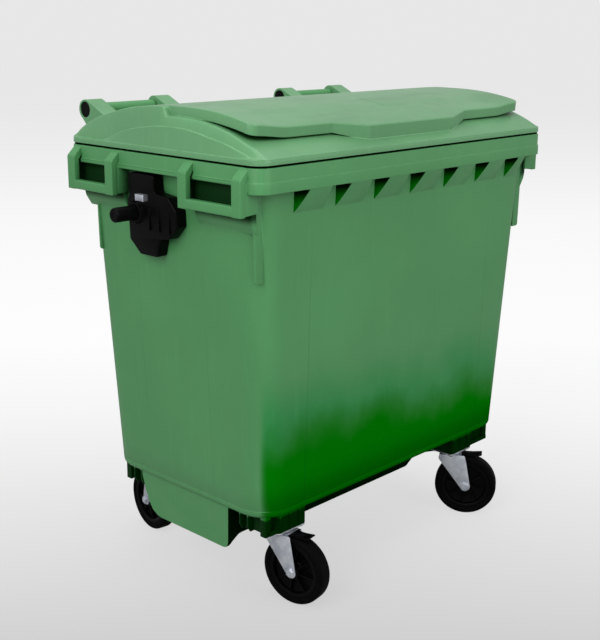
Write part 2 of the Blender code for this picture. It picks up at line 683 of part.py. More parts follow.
# (radius, y) about the wheel axis
WHEEL_CORE = ((0.0086, -0.0275), (0.0210, -0.0275), (0.0235, -0.0080), (0.0640, -0.0060),
              (0.0680, -0.0195), (0.0795, -0.0205), (0.0795, 0.0205), (0.0680, 0.0195),
              (0.0640, 0.0060), (0.0235, 0.0080), (0.0210, 0.0275), (0.0086, 0.0275))
AXLE_BOLT = ((0.0, -0.0380), (0.0110, -0.0380), (0.0130, -0.0370), (0.0130, -0.0319),
             (0.0080, -0.0319), (0.0080, 0.0400), (0.0, 0.0400))
AXLE_NUT = ((0.0084, 0.0319), (0.0130, 0.0319), (0.0130, 0.0372), (0.0115, 0.0382),
            (0.0084, 0.0382))
# brake pedal: (x, z) outline about its own axis, and that axis in the castor's frame
PEDAL = ((-0.0020, -0.0012), (0.0300, -0.0012), (0.0560, 0.0012), (0.0600, 0.0030),
         (0.0580, 0.0062), (0.0300, 0.0032), (-0.0020, 0.0028))
PEDAL_X, PEDAL_Z, PEDAL_HY = 0.0445, 0.2045, 0.0180


def build_plate(tag, parent, location):
    """Bolting plate with chamfered corners."""
    long_x, long_y = PLATE_HX, PLATE_HY
    short_x, short_y = PLATE_HX - PLATE_CHAMFER, PLATE_HY - PLATE_CHAMFER
    outline = ((-long_x, -short_y), (-short_x, -long_y), (short_x, -long_y), (long_x, -short_y),
               (long_x, short_y), (short_x, long_y), (-short_x, long_y), (-long_x, short_y))
    plate = make("castor_plate_" + tag, prism(outline, "z", Z_PLATE, Z_PLATE + PLATE_T))
    holes = [rod(0.0066, 0.21, 0.23, 16)]
    holes += [shift(rod(0.0046, 0.21, 0.23, 12), dx, dy) for dx, dy in BOLT_SPOTS]
    combine(plate, holes, "DIFFERENCE")
    finish(plate, "zinc_steel", parent, location)


def plate_bolt():
    """Hexagon head under the plate, shank up into the housing."""
    top = Z_PLATE - 0.0004
    low, end = top - 0.0048, Z_MOUNT + 0.020
    return lathe(((0.0, low), (0.0068, low), (0.0075, top - 0.004), (0.0075, top),
                  (0.0040, top), (0.0040, end), (0.0, end)), 6)


def build_fork(tag, parent):
    """Two cheeks rounded about the axle, joined by a crown plate."""
    cheek = [(-0.032, Z_CROWN), (-0.036, Z_CROWN - 0.010), (-0.033, 0.188)]
    for k in range(9):
        angle = math.radians(200 + 20 * k)
        cheek.append((TRAIL + 0.0165 * math.cos(angle), WHEEL_R + 0.0165 * math.sin(angle)))
    cheek += [(0.0560, 0.180), (0.0500, Z_CROWN)]
    fork = make("castor_fork_" + tag, prism(cheek, "y", -CHEEK_OUT, -CHEEK_IN))
    combine(fork, [prism(cheek, "y", CHEEK_IN, CHEEK_OUT),
                   box(-0.0330, 0.0380, -0.0312, 0.0312, Z_CROWN - 0.004, Z_CROWN - 0.0001)],
            "UNION")
    combine(fork, [rod(0.0066, 0.19, 0.22, 16),
                   shift(rod(0.0084, -0.05, 0.05, 20, "y"), dx=TRAIL, dz=WHEEL_R)],
            "DIFFERENCE")
    finish(fork, "zinc_steel", parent)


def build_tyre(tag, parent):
    """Tyre whose flats touch the ground, turned half a step to rest on one."""
    radius = WHEEL_R / math.cos(math.pi / TYRE_SIDES)
    half = TYRE_W / 2
    tyre = lathe(((0.0800, -half + 0.002), (0.0860, -half), (radius - 0.006, -half + 0.001),
                  (radius, -half + 0.009), (radius, half - 0.009),
                  (radius - 0.006, half - 0.001), (0.0860, half), (0.0800, half - 0.002)),
                 TYRE_SIDES, "y")
    piece("wheel_tyre_" + tag, tyre, "tyre_rubber", parent, (0.0, 0.0, 0.0),
          (0.0, math.pi / TYRE_SIDES, 0.0))


def build_pedal(tag, swivel):
    """Foot pedal of the wheel brake, with its cross rod."""
    axis = empty("brake_axis_" + tag, (PEDAL_X, 0.0, PEDAL_Z), swivel)
    pedal = make("brake_pedal_" + tag, prism(PEDAL, "y", -PEDAL_HY, PEDAL_HY))
    combine(pedal, [rod(0.0028, -0.0282, 0.0282, 12, "y")], "UNION")
    finish(pedal, "black_plastic", axis)


def build_castor(tag, x, y, angle, parent):
    swivel = empty("castor_axis_" + tag, (x, y, 0.0), parent, math.radians(angle))
    axle = empty("wheel_axis_" + tag, (TRAIL, 0.0, WHEEL_R), swivel)
    build_plate(tag, parent, (x, y, 0.0))
    for i, (dx, dy) in enumerate(BOLT_SPOTS, 1):
        piece("castor_bolt_%s_%d" % (tag, i), plate_bolt(), "zinc_steel", parent,
              (x + dx, y + dy, 0.0))
    piece("castor_kingpin_" + tag, lathe(KINGPIN, 12), "zinc_steel", parent, (x, y, 0.0))
    piece("castor_race_" + tag, lathe(RACE, 20), "zinc_steel", swivel)
    build_fork(tag, swivel)
    build_tyre(tag, axle)
    piece("wheel_core_" + tag, lathe(WHEEL_CORE, 20, "y"), "black_plastic", axle)
    piece("axle_bolt_" + tag, lathe(AXLE_BOLT, 6, "y"), "zinc_steel", axle)
    piece("axle_nut_" + tag, lathe(AXLE_NUT, 6, "y"), "zinc_steel", axle)
    if tag in ("fl", "fr"):
        build_pedal(tag, swivel)


# ------------------------------------------------------------------- assembly
root = empty("container_frame", (0.0, FRAME_Y, 0.0))
lid_axis = empty("lid_hinge_axis", (0.0, HINGE_Y, HINGE_Z), root)
build_tub(root)
build_lid(lid_axis)
build_hinge_pins(root)
build_trunnions(root)
for castor_tag, castor in CASTORS.items():
    build_castor(castor_tag, *castor, root)
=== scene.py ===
# A wheeled tub bin with a hinged lid, end handles, side trunnions and four swivel castors.
# Metres, +Z up, wheels on z = 0. The long side lies along X, the hinge is at the back (+Y),
# the front faces -Y and left is -X. Pieces are laid out about x = y = 0, then moved by ROOT.
import math
from functools import cached_property

import bpy
import bmesh
from mathutils import Matrix, Vector


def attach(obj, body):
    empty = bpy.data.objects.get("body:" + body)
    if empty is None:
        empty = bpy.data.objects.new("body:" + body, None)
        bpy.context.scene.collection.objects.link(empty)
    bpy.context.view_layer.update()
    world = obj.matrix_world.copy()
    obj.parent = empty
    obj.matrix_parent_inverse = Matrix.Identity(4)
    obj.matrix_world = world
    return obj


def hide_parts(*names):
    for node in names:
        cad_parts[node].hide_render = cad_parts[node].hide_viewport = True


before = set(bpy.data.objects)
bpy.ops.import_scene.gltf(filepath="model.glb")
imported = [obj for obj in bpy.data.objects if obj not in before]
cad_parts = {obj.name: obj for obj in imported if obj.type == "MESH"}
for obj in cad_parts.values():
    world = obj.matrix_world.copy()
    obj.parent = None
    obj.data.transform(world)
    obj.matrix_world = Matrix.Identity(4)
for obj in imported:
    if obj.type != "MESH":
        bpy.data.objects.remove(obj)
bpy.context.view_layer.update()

ROOT = Matrix.Translation((0.0, -0.00408, 0.0))
SIDES = ((-1, "left"), (1, "right"))

# ------------------------------------------------------------ sizes
# rounded rectangles: half size in x, half size in y, corner radius
RIM = (0.635, 0.3875, 0.047)
BASE = (0.5585, 0.330, 0.090)           # wall at Z_BASE
TOP = (0.600, 0.352, 0.070)             # wall at Z_SKIRT_FRONT
Z_BASE, Z_RIM_TOP, Z_SKIRT_FRONT, Z_SKIRT_SIDE = 0.290, 1.242, 1.178, 1.195
WALL_T = 0.005
COMB_COUNT, COMB_PITCH, COMB_WIDTH, COMB_X0 = 7, 0.158, 0.110, -0.480
HANDLE_OUT = 0.660                      # outer face, from the middle
HANDLES = ((0.150, 0.350), (-0.347, -0.117))    # y span of each
HANDLE_Z0, HANDLE_BAR_TOP, HANDLE_POST = 1.122, 0.026, 0.032

# underside of the tub, outer outline (y, z), run along x
SUMP_HX = 0.545
SUMP = (
    (-0.172, 0.281), (-0.1715, 0.230), (-0.1705, 0.170), (-0.1685, 0.1600), (-0.1640, 0.1530),
    (-0.1560, 0.1495), (-0.1460, 0.1485), (0.120, 0.1485), (0.138, 0.152), (0.158, 0.164),
    (0.172, 0.184), (0.187, 0.216), (0.202, 0.262), (0.204, 0.281))
# its hollow (y, z)
SUMP_IN = (
    (-0.165, 0.320), (-0.162, 0.236), (-0.156, 0.192), (-0.149, 0.178), (-0.136, 0.1685),
    (-0.126, 0.1665), (0.120, 0.1665), (0.135, 0.1685), (0.153, 0.176), (0.165, 0.190),
    (0.180, 0.219), (0.195, 0.264), (0.197, 0.320))
# space swept by a swivelling wheel and its pedal, about the swivel axis (radius, z)
SWEEP = (
    (0.0, 0.120), (0.160, 0.120), (0.157, 0.130), (0.149, 0.150), (0.138, 0.165),
    (0.1225, 0.180), (0.111, 0.189), (0.111, 0.2135), (0.0, 0.2135))
# the same space grown by the thickness left round it (radius, z)
SWEEP_IN = (
    (0.0, 0.112), (0.166, 0.112), (0.163, 0.130), (0.155, 0.152), (0.144, 0.168),
    (0.1285, 0.184), (0.117, 0.192), (0.117, 0.2195), (0.0, 0.2195))

# swivel axis x, y and swivel angle in degrees
CASTORS = {"fl": (-0.435, -0.270, -81.0), "fr": (0.368, -0.270, -58.0),
           "bl": (-0.405, 0.278, 82.0), "br": (0.385, 0.278, 62.0)}
TRAIL, WHEEL_R, TYRE_W = 0.055, 0.100, 0.046
Z_MOUNT, Z_HOUSING_TOP = 0.222, 0.281
PLATE_LX, PLATE_LY, PLATE_T = 0.110, 0.090, 0.004
Z_PLATE = Z_MOUNT - 0.0003 - PLATE_T
BOLT_DX, BOLT_DY = 0.043, 0.033
Z_CROWN = 0.2065                        # top of the fork
TRUNNION_Y, TRUNNION_Z, TRUNNION_R, TRUNNION_TIP = 0.088, 1.082, 0.020, 0.706

LID_T = 0.004
Z_LID0, Z_BAND = 1.2436, 1.262          # lower edge, foot of the crown
Z_SPLIT = Z_LID0 + 0.0040
HINGE_Y, HINGE_Z, LUG_R = 0.405, 1.330, 0.028
PIN_R, PIN_HEAD_R, KNUCKLE_R = 0.0100, 0.0225, 0.0165
LUGS = ((0.245, 0.300), (0.495, 0.552))         # x span of each
# lid section behind and in front of the step near y = 0 (y, z)
LID_RAISED = (
    (0.3845, 1.262), (0.372, 1.270), (0.354, 1.285), (0.304, 1.311), (0.253, 1.328),
    (0.199, 1.342), (0.138, 1.355), (0.074, 1.363), (0.021, 1.367), (-0.003, 1.368))
LID_BASE = (
    (-0.026, 1.344), (-0.084, 1.343), (-0.141, 1.339), (-0.197, 1.330), (-0.251, 1.317),
    (-0.303, 1.299), (-0.340, 1.284), (-0.368, 1.270), (-0.3845, 1.262))
# section of the lid panel in the middle and towards the ends (y, z)
PANEL = (
    (0.020, 1.3670), (-0.003, 1.3685), (-0.050, 1.3680), (-0.100, 1.3660), (-0.140, 1.3625),
    (-0.190, 1.3560), (-0.230, 1.3475), (-0.262, 1.3405), (-0.300, 1.3320), (-0.352, 1.3170))
PANEL_END = (
    (0.020, 1.3670), (-0.003, 1.3685), (-0.050, 1.3685), (-0.100, 1.3680), (-0.140, 1.3665),
    (-0.190, 1.3625), (-0.230, 1.3570), (-0.262, 1.3515), (-0.300, 1.3430), (-0.352, 1.3280))
PANEL_HX, PANEL_LIP_SIDE, PANEL_LIP_MIDDLE = 0.590, 0.025, 0.040
# arched crease on each end of the lid (y, z)
ARCH = (
    (0.300, 1.262), (0.237, 1.2625), (0.174, 1.284), (0.113, 1.301), (0.038, 1.312),
    (-0.023, 1.317), (-0.082, 1.317), (-0.139, 1.312), (-0.194, 1.302), (-0.249, 1.292),
    (-0.301, 1.278), (-0.357, 1.2625), (-0.385, 1.262))


# ------------------------------------------------------------ mesh helpers
# A piece is (vertices, faces), optionally followed by a bevel width and bevel segments.
def clamp(value):
    return min(max(value, 0.0), 1.0)


def smoothstep(start, end, value):
    t = clamp((value - start) / (end - start))
    return t * t * (3 - 2 * t)


def shrunk(size, inset):
    return tuple(v - inset for v in size)


LID = shrunk(RIM, 0.003)


def ring(hx, hy, r, height, nc=10, nx=16, ny=14):
    """Points round a rounded rectangle; height is a number or a function of x, y."""
    points = []
    corners = ((hx - r, hy - r, 0.0), (-(hx - r), hy - r, 90.0),
               (-(hx - r), -(hy - r), 180.0), (hx - r, -(hy - r), 270.0))
    for k, (cx, cy, start) in enumerate(corners):
        for i in range(nc + 1):
            a = math.radians(start + 90.0 * i / nc)
            points.append((cx + r * math.cos(a), cy + r * math.sin(a)))
        next_x, next_y, _ = corners[(k + 1) % 4]
        a = math.radians(start + 90.0)
        x0, y0 = cx + r * math.cos(a), cy + r * math.sin(a)
        x1, y1 = next_x + r * math.cos(a), next_y + r * math.sin(a)
        n = nx if k % 2 == 0 else ny
        for i in range(1, n):
            t = i / n
            points.append((x0 + (x1 - x0) * t, y0 + (y1 - y0) * t))
    return [(x, y, height(x, y) if callable(height) else height) for x, y in points]


def loft(rings):
    n = len(rings[0])
    faces = [tuple(reversed(range(n)))]
    for k in range(len(rings) - 1):
        for i in range(n):
            j = (i + 1) % n
            faces.append((k * n + i, k * n + j, (k + 1) * n + j, (k + 1) * n + i))
    last = (len(rings) - 1) * n
    faces.append(tuple(last + i for i in range(n)))
    return [p for points in rings for p in points], faces


def bridge(first, last, flip=False):
    """Solid between two matching outlines; flip winds its side faces the other way."""
    n = len(first)
    sides = [(i, (i + 1) % n, n + (i + 1) % n, n + i) for i in range(n)]
    if flip:
        sides = [(a, d, c, b) for a, b, c, d in sides]
    return first + last, [tuple(range(n)), tuple(n + i for i in reversed(range(n)))] + sides


def prism(outline, axis, start, end):
    def at(p, t):
        return {"x": (t, p[0], p[1]), "y": (p[0], t, p[1]), "z": (p[0], p[1], t)}[axis]
    return bridge([at(p, start) for p in outline], [at(p, end) for p in outline])


def box(x0, x1, y0, y1, z0, z1):
    return prism(((x0, y0), (x1, y0), (x1, y1), (x0, y1)), "z", z0, z1)


def lathe(profile, n, axis="z"):
    """Turn (radius, distance along the axis) points about an axis, joining last to first."""
    verts, rows, faces = [], [], []
    for r, h in profile:
        if r == 0.0:
            verts.append((0.0, 0.0, h))
            rows.append([len(verts) - 1] * n)
            continue
        rows.append(list(range(len(verts), len(verts) + n)))
        for i in range(n):
            a = 2.0 * math.pi * i / n
            verts.append((r * math.cos(a), r * math.sin(a), h))
    for k, row in enumerate(rows):
        after = (k + 1) % len(rows)
        if profile[k][0] == 0.0 and profile[after][0] == 0.0:
            continue
        for i in range(n):
            j = (i + 1) % n
            corners = (row[i], row[j], rows[after][j], rows[after][i])
            face = tuple(dict.fromkeys(corners))
            if len(face) > 2:
                faces.append(face)
    if axis == "x":
        verts = [(h, a, b) for a, b, h in verts]
    elif axis == "y":
        verts = [(b, h, a) for a, b, h in verts]
    return verts, faces


def rod(r, start, end, n, axis="z", chamfer=0.0):
    if not chamfer:
        return lathe(((0.0, start), (r, start), (r, end), (0.0, end)), n, axis)
    c, part = chamfer, 0.3 * chamfer
    return lathe(((0.0, start), (r - c, start), (r - part, start + part), (r, start + c),
                  (r, end - c), (r - part, end - part), (r - c, end), (0.0, end)), n, axis)


def moved(piece, dx=0.0, dy=0.0, dz=0.0):
    return [(x + dx, y + dy, z + dz) for x, y, z in piece[0]], piece[1]


def sided(piece, side):
    """Mirror a piece in x when side is -1."""
    return [(side * x, y, z) for x, y, z in piece[0]], piece[1]


def sided_outline(side, *points):
    return [(side * x, z) for x, z in points]


def rounded(outline, radius, n=4, only=None):
    """Outline with its corners turned into small arcs; only lists the corners to turn."""
    out = []
    for i, p in enumerate(outline):
        before, after = Vector(outline[i - 1]), Vector(outline[(i + 1) % len(outline)])
        p = Vector(p)
        if only is not None and i not in only:
            out.append(tuple(p))
            continue
        back, ahead = before - p, after - p
        back_len, ahead_len = back.length, ahead.length
        back.normalize()
        ahead.normalize()
        angle = math.acos(max(-1.0, min(1.0, back.dot(ahead))))
        if angle > math.radians(172):
            out.append(tuple(p))
            continue
        cut = min(radius / math.tan(angle / 2), 0.45 * back_len, 0.45 * ahead_len)
        r = cut * math.tan(angle / 2)
        centre = p + (back + ahead).normalized() * (r / math.sin(angle / 2))
        start, end = p + back * cut - centre, p + ahead * cut - centre
        a0, a1 = math.atan2(start.y, start.x), math.atan2(end.y, end.x)
        turn = (a1 - a0 + math.pi) % (2 * math.pi) - math.pi
        for k in range(n + 1):
            a = a0 + turn * k / n
            out.append((centre.x + r * math.cos(a), centre.y + r * math.sin(a)))
    return out


def to_bmesh(verts, faces, bevel=0.0, segments=2):
    bm = bmesh.new()
    made = [bm.verts.new(p) for p in verts]
    for face in faces:
        # guards against a face that is already there or repeats a vertex
        try:
            bm.faces.new([made[i] for i in face])
        except ValueError:
            pass
    bmesh.ops.recalc_face_normals(bm, faces=bm.faces)
    if bevel:
        edges = [e for e in bm.edges
                 if len(e.link_faces) == 2 and e.calc_face_angle(0.0) > math.radians(28.0)]
        bmesh.ops.bevel(bm, geom=edges, offset=bevel, offset_type="OFFSET", segments=segments,
                        profile=0.5, affect="EDGES", clamp_overlap=True)
    return bm


def to_piece(bm):
    mesh = bpy.data.meshes.new("temp")
    bm.to_mesh(mesh)
    bm.free()
    return [tuple(v.co) for v in mesh.vertices], [tuple(p.vertices) for p in mesh.polygons]


def boolean(piece, cutters, operation="DIFFERENCE"):
    """Combine a piece with others; returns a bmesh."""
    def temporary(solid):
        mesh = bpy.data.meshes.new("temp")
        bm = to_bmesh(*solid)
        bm.to_mesh(mesh)
        bm.free()
        ob = bpy.data.objects.new("temp", mesh)
        bpy.context.scene.collection.objects.link(ob)
        return ob

    target = temporary(piece)
    tools = [temporary(cutter) for cutter in cutters]
    for tool in tools:
        mod = target.modifiers.new("boolean", "BOOLEAN")
        mod.operation, mod.solver, mod.object = operation, "EXACT", tool
    graph = bpy.context.evaluated_depsgraph_get()
    graph.update()
    mesh = bpy.data.meshes.new_from_object(target.evaluated_get(graph), depsgraph=graph)
    bm = bmesh.new()
    bm.from_mesh(mesh)
    for ob in [target] + tools:
        bpy.data.objects.remove(ob, do_unlink=True)
    return bm


def build(name, parts, body, finish, matrix=ROOT, cad=None):
    """One object from pieces or bmeshes; it replaces cad, or its own name without _vis."""
    whole = bmesh.new()
    for part in parts:
        bm = part if isinstance(part, bmesh.types.BMesh) else to_bmesh(*part)
        temp = bpy.data.meshes.new("temp")
        bm.to_mesh(temp)
        bm.free()
        whole.from_mesh(temp)
        bpy.data.meshes.remove(temp)
    whole.transform(matrix)
    mesh = bpy.data.meshes.new(name)
    whole.to_mesh(mesh)
    whole.free()
    for polygon in mesh.polygons:
        polygon.use_smooth = True
    mesh.set_sharp_from_angle(angle=math.radians(32.0))
    ob = bpy.data.objects.new(name, mesh)
    bpy.context.scene.collection.objects.link(ob)
    material, slot = finish
    mesh.materials.append(material)
    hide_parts(cad or name.replace("_vis", ""))
    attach(ob, body)


def curve_at(table, y):
    """Smooth curve through (y, z) points listed from the back to the front."""
    if y >= table[0][0]:
        return table[0][1]
    for k in range(len(table) - 1):
        (ya, za), (yb, zb) = table[k], table[k + 1]
        if y > table[-1][0] and yb <= y <= ya:
            def slope(i):
                lo, hi = max(i - 1, 0), min(i + 1, len(table) - 1)
                return (table[hi][1] - table[lo][1]) / (table[hi][0] - table[lo][0])
            h = yb - ya
            t = (y - ya) / h
            m0, m1 = slope(k) * h, slope(k + 1) * h
            return ((2 * t ** 3 - 3 * t ** 2 + 1) * za + (t ** 3 - 2 * t ** 2 + t) * m0
                    + (-2 * t ** 3 + 3 * t ** 2) * zb + (t ** 3 - t ** 2) * m1)
    return table[-1][1]


# ------------------------------------------------------------ materials
class Shader:
    """A new material, with short calls that add and join its nodes."""

    def __init__(self, name):
        self.material = bpy.data.materials.new(name)
        self.material.use_nodes = True
        self.tree = self.material.node_tree
        self.bsdf = self.tree.nodes["Principled BSDF"]
        self.coords = self.new("ShaderNodeTexCoord").outputs["Object"]

    @cached_property
    def normal(self):
        return self.new("ShaderNodeNewGeometry").outputs["Normal"]

    @cached_property
    def position(self):
        return self.split(self.coords)

    @cached_property
    def facing(self):
        return self.split(self.normal)

    def new(self, kind, **settings):
        node = self.tree.nodes.new(kind)
        for key, value in settings.items():
            setattr(node, key, value)
        return node

    def put(self, socket, value):
        if isinstance(value, bpy.types.NodeSocket):
            self.tree.links.new(value, socket)
        else:
            socket.default_value = value

    def noise(self, scale, detail=3.0, rough=0.5, stretch=None):
        node = self.new("ShaderNodeTexNoise")
        node.inputs["Scale"].default_value = scale
        node.inputs["Detail"].default_value = detail
        node.inputs["Roughness"].default_value = rough
        source = self.coords
        if stretch:
            mapping = self.new("ShaderNodeMapping")
            mapping.inputs["Scale"].default_value = stretch
            self.put(mapping.inputs["Vector"], source)
            source = mapping.outputs["Vector"]
        self.put(node.inputs["Vector"], source)
        return node.outputs["Fac"]

    def math(self, operation, a, b=0.0, clamp=False):
        node = self.new("ShaderNodeMath", operation=operation, use_clamp=clamp)
        self.put(node.inputs[0], a)
        self.put(node.inputs[1], b)
        return node.outputs[0]

    def times(self, value, *factors):
        for factor in factors:
            value = self.math("MULTIPLY", value, factor)
        return value

    def max(self, a, b):
        return self.math("MAXIMUM", a, b)

    def scaled(self, value, by, plus):
        return self.math("ADD", self.times(value, by), plus)

    def ramp(self, value, span):
        """Smooth rise from 0 at the start of the span to 1 at its end."""
        node = self.new("ShaderNodeMapRange", interpolation_type="SMOOTHSTEP")
        self.put(node.inputs["Value"], value)
        node.inputs["From Min"].default_value = span[0]
        node.inputs["From Max"].default_value = span[1]
        return node.outputs["Result"]

    def window(self, value, span):
        """1 between the two middle numbers of the span, fading to 0 at the outer two."""
        return self.times(self.ramp(value, span[:2]), self.ramp(value, (span[3], span[2])))

    def mix(self, factor, first, second, amount=None, blend="MIX"):
        if amount is not None:
            factor = self.times(factor, amount)
        node = self.new("ShaderNodeMix", data_type="RGBA", blend_type=blend)
        self.put(node.inputs["Factor"], factor)
        for key, color in (("A", first), ("B", second)):
            self.put(node.inputs[key], color + (1.0,) if isinstance(color, tuple) else color)
        return node.outputs["Result"]

    def split(self, vector):
        node = self.new("ShaderNodeSeparateXYZ")
        self.put(node.inputs[0], vector)
        return tuple(node.outputs)

    def bevel(self, radius):
        node = self.new("ShaderNodeBevel", samples=4)
        node.inputs["Radius"].default_value = radius
        return node.outputs["Normal"]

    def bump(self, height, normal, strength, distance):
        node = self.new("ShaderNodeBump")
        node.inputs["Strength"].default_value = strength
        node.inputs["Distance"].default_value = distance
        self.put(node.inputs["Height"], height)
        self.put(node.inputs["Normal"], normal)
        return node.outputs["Normal"]

    def edge(self, bevel_normal):
        """Mask of the edges, where the bevelled normal leaves the true one."""
        dot = self.new("ShaderNodeVectorMath", operation="DOT_PRODUCT")
        self.put(dot.inputs[0], bevel_normal)
        self.put(dot.inputs[1], self.normal)
        return self.ramp(dot.outputs["Value"], span=(0.995, 0.90))

    def finish(self, color, roughness, normal, specular=None):
        self.put(self.bsdf.inputs["Base Color"], color)
        self.put(self.bsdf.inputs["Roughness"], roughness)
        self.put(self.bsdf.inputs["Normal"], normal)
        if specular is not None:
            self.put(self.bsdf.inputs["Specular IOR Level"], specular)
        return self.material


TUB_GREEN = (0.066, 0.250, 0.086)
# painted sheen: the lid is the tub's plastic, made lighter and paler
LID_GREEN_WITH_SHEEN = (0.105, 0.285, 0.125)
# painted shade on the front wall, darker from mid height down to the foot
FRONT_SHADE_MIDDLE = (0.006, 0.200, 0.040)    # front wall, from mid height down
FRONT_SHADE_LOW = (0.0005, 0.150, 0.0008)
FRONT_SHADE_FOOT = (0.0004, 0.050, 0.0006)
DUST = (0.33, 0.34, 0.28)
# painted shadow on the left faces of the comb
COMB_SHADOW_LOW = (0.001, 0.120, 0.002)        # left faces of the comb, bottom and top
COMB_SHADOW_HIGH = (0.0004, 0.004, 0.0006)
# painted shade on the front face of the sump, under the tub
UNDERSIDE_SHADE = (0.0005, 0.0075, 0.0008)
# painted shade of faint creases in the walls
CREASE_LINE_SHADE = (0.004, 0.060, 0.010)
# painted shade in the tub's hollows
TUB_HOLLOW_SHADE = (0.0008, 0.012, 0.0012)
# painted shade in the lid's hollows and recesses
LID_HOLLOW_SHADE = (0.0008, 0.030, 0.0014)    # most enclosed places of the lid
LID_RECESS_SHADE = (0.0010, 0.120, 0.0040)    # less enclosed ones
# painted shade of the gap at the lid's lower edge
LID_SPLIT_SHADE = (0.0006, 0.0030, 0.0008)


def tinted(color, factor, lift=0.0):
    return tuple(min(c * factor + lift, 1.0) for c in color)


def front_shade_masks(mat):
    """Masks of the painted shade on the front wall: middle, low part and foot."""
    x, y, z = mat.position
    front = mat.ramp(mat.facing[1], span=(-0.56, -0.80))
    sole = mat.times(mat.ramp(z, span=(0.302, 0.296)),
                     mat.times(mat.ramp(y, span=(-0.285, -0.315)),
                               mat.ramp(x, span=(-0.545, -0.525))))
    front = mat.max(front, sole)
    # the borders wander with a noise centred on zero and tilt a little along x
    noise = mat.noise(scale=3.1, detail=4.0, rough=0.55, stretch=(1.0, 1.0, 0.75))
    noise_middle, noise_height, tilt = 0.5, 0.26, 0.05
    cloud = mat.times(mat.math("SUBTRACT", noise, noise_middle), noise_height)
    height = mat.math("ADD", z, mat.scaled(x, by=tilt, plus=cloud))
    return (mat.times(front, mat.ramp(height, span=(0.69, 0.49))),
            mat.times(front, mat.ramp(height, span=(0.545, 0.415))),
            mat.times(front, mat.ramp(z, span=(0.40, 0.30))))


def paint_front_shade(mat, color, low, foot):
    # painted shade, darkest at the foot of the front wall
    color = mat.mix(low, color, FRONT_SHADE_LOW)
    return mat.mix(foot, color, FRONT_SHADE_FOOT, amount=0.40)


def shade_tub(mat, color, enclosed, low, foot):
    """Paint shade into the tub's hollows; returns the colour and the mask that kills the gloss.
    """
    x, y, z = mat.position
    nx, ny, _ = mat.facing
    abs_x, abs_y = mat.math("ABSOLUTE", x), mat.math("ABSOLUTE", y)
    # painted shade where ambient occlusion finds the surface enclosed
    shade = mat.times(mat.ramp(enclosed, span=(0.52, 0.14)), 0.92)
    # painted shadow on the left faces of the comb, darkest at the top under the rim
    comb = mat.times(mat.window(y, span=(-0.398, -0.394, -0.350, -0.346)),
                     mat.ramp(abs_x, span=(0.52, 0.50)))
    comb = mat.times(mat.ramp(nx, span=(-0.50, -0.68)), comb, mat.ramp(z, span=(1.178, 1.174)))
    comb_shadow_color = mat.mix(mat.ramp(z, span=(1.135, 1.170)), COMB_SHADOW_LOW, COMB_SHADOW_HIGH)
    # painted shade in the hollows behind the handles, then round the castor housings
    handles = mat.math("ADD", mat.window(y, span=(0.152, 0.160, 0.336, 0.344)),
                       mat.window(y, span=(-0.348, -0.340, -0.130, -0.122)), clamp=True)
    hollow_shade = mat.times(mat.window(abs_x, span=(0.590, 0.596, 0.632, 0.640)),
                       mat.window(z, span=(1.092, 1.118, 1.194, 1.200)))
    hollow_shade = mat.times(hollow_shade, handles)
    housing_shade = mat.times(mat.ramp(z, span=(0.2745, 0.266)), mat.ramp(abs_y, span=(0.204, 0.210)))
    color = paint_front_shade(mat, color, low, foot)
    # painted shade on the front face of the sump
    under_shade = mat.times(mat.ramp(z, span=(0.2735, 0.268)), mat.ramp(ny, span=(-0.10, -0.45)),
                      mat.window(y, span=(-0.20, -0.19, -0.13, -0.12)))
    color = mat.mix(under_shade, color, UNDERSIDE_SHADE)
    # painted shade of faint upright creases on the walls; weaker on the end walls
    end_crease_shade_strength = 0.5
    crease_shade_mask = mat.times(mat.window(abs_x, span=(0.4032, 0.4048, 0.4052, 0.4068)),
                     mat.ramp(mat.math("ABSOLUTE", ny), span=(0.90, 0.97)))
    end_crease_shade_mask = mat.times(mat.window(abs_y, span=(0.1332, 0.1348, 0.1352, 0.1368)),
                         mat.ramp(mat.math("ABSOLUTE", nx), span=(0.90, 0.97)))
    crease_shade_mask = mat.times(mat.math("ADD", crease_shade_mask, mat.times(end_crease_shade_mask, end_crease_shade_strength)),
                     mat.window(z, span=(0.285, 0.300, 0.75, 1.15)))
    color = mat.mix(crease_shade_mask, color, CREASE_LINE_SHADE, amount=0.42)
    for mask, strength in ((hollow_shade, 0.94), (housing_shade, 0.93)):
        shade = mat.max(shade, mat.times(mask, strength))
    color = mat.mix(shade, color, TUB_HOLLOW_SHADE)
    color = mat.mix(comb, color, comb_shadow_color)
    return color, mat.max(mat.max(shade, comb), low)


def shade_lid(mat, color, enclosed):
    """Paint shade into the lid's recesses and along its lower edge, and darken patches on its
    top.
    """
    # painted shade where ambient occlusion finds the lid enclosed
    shade = mat.times(mat.ramp(enclosed, span=(0.52, 0.14)), 0.92)
    recess_shade = mat.mix(mat.ramp(enclosed, span=(0.10, 0.34)), LID_HOLLOW_SHADE, LID_RECESS_SHADE)
    color = mat.mix(shade, color, recess_shade)
    # painted shade: a near-black band where the lid's lower edge meets the rim
    split = mat.ramp(mat.position[2], span=(1.2480, 1.2472))
    color = mat.mix(split, color, LID_SPLIT_SHADE)
    # darker patches on the upward faces of the lid
    noise = mat.noise(scale=5.0, detail=5.0, rough=0.62, stretch=(0.7, 2.2, 1.0))
    top_patches = mat.times(mat.ramp(noise, span=(0.46, 0.70)),
                       mat.ramp(mat.facing[2], span=(0.80, 0.97)))
    color = mat.mix(top_patches, color, tinted(LID_GREEN_WITH_SHEEN, 0.45), amount=0.28)
    return color, mat.max(shade, split)


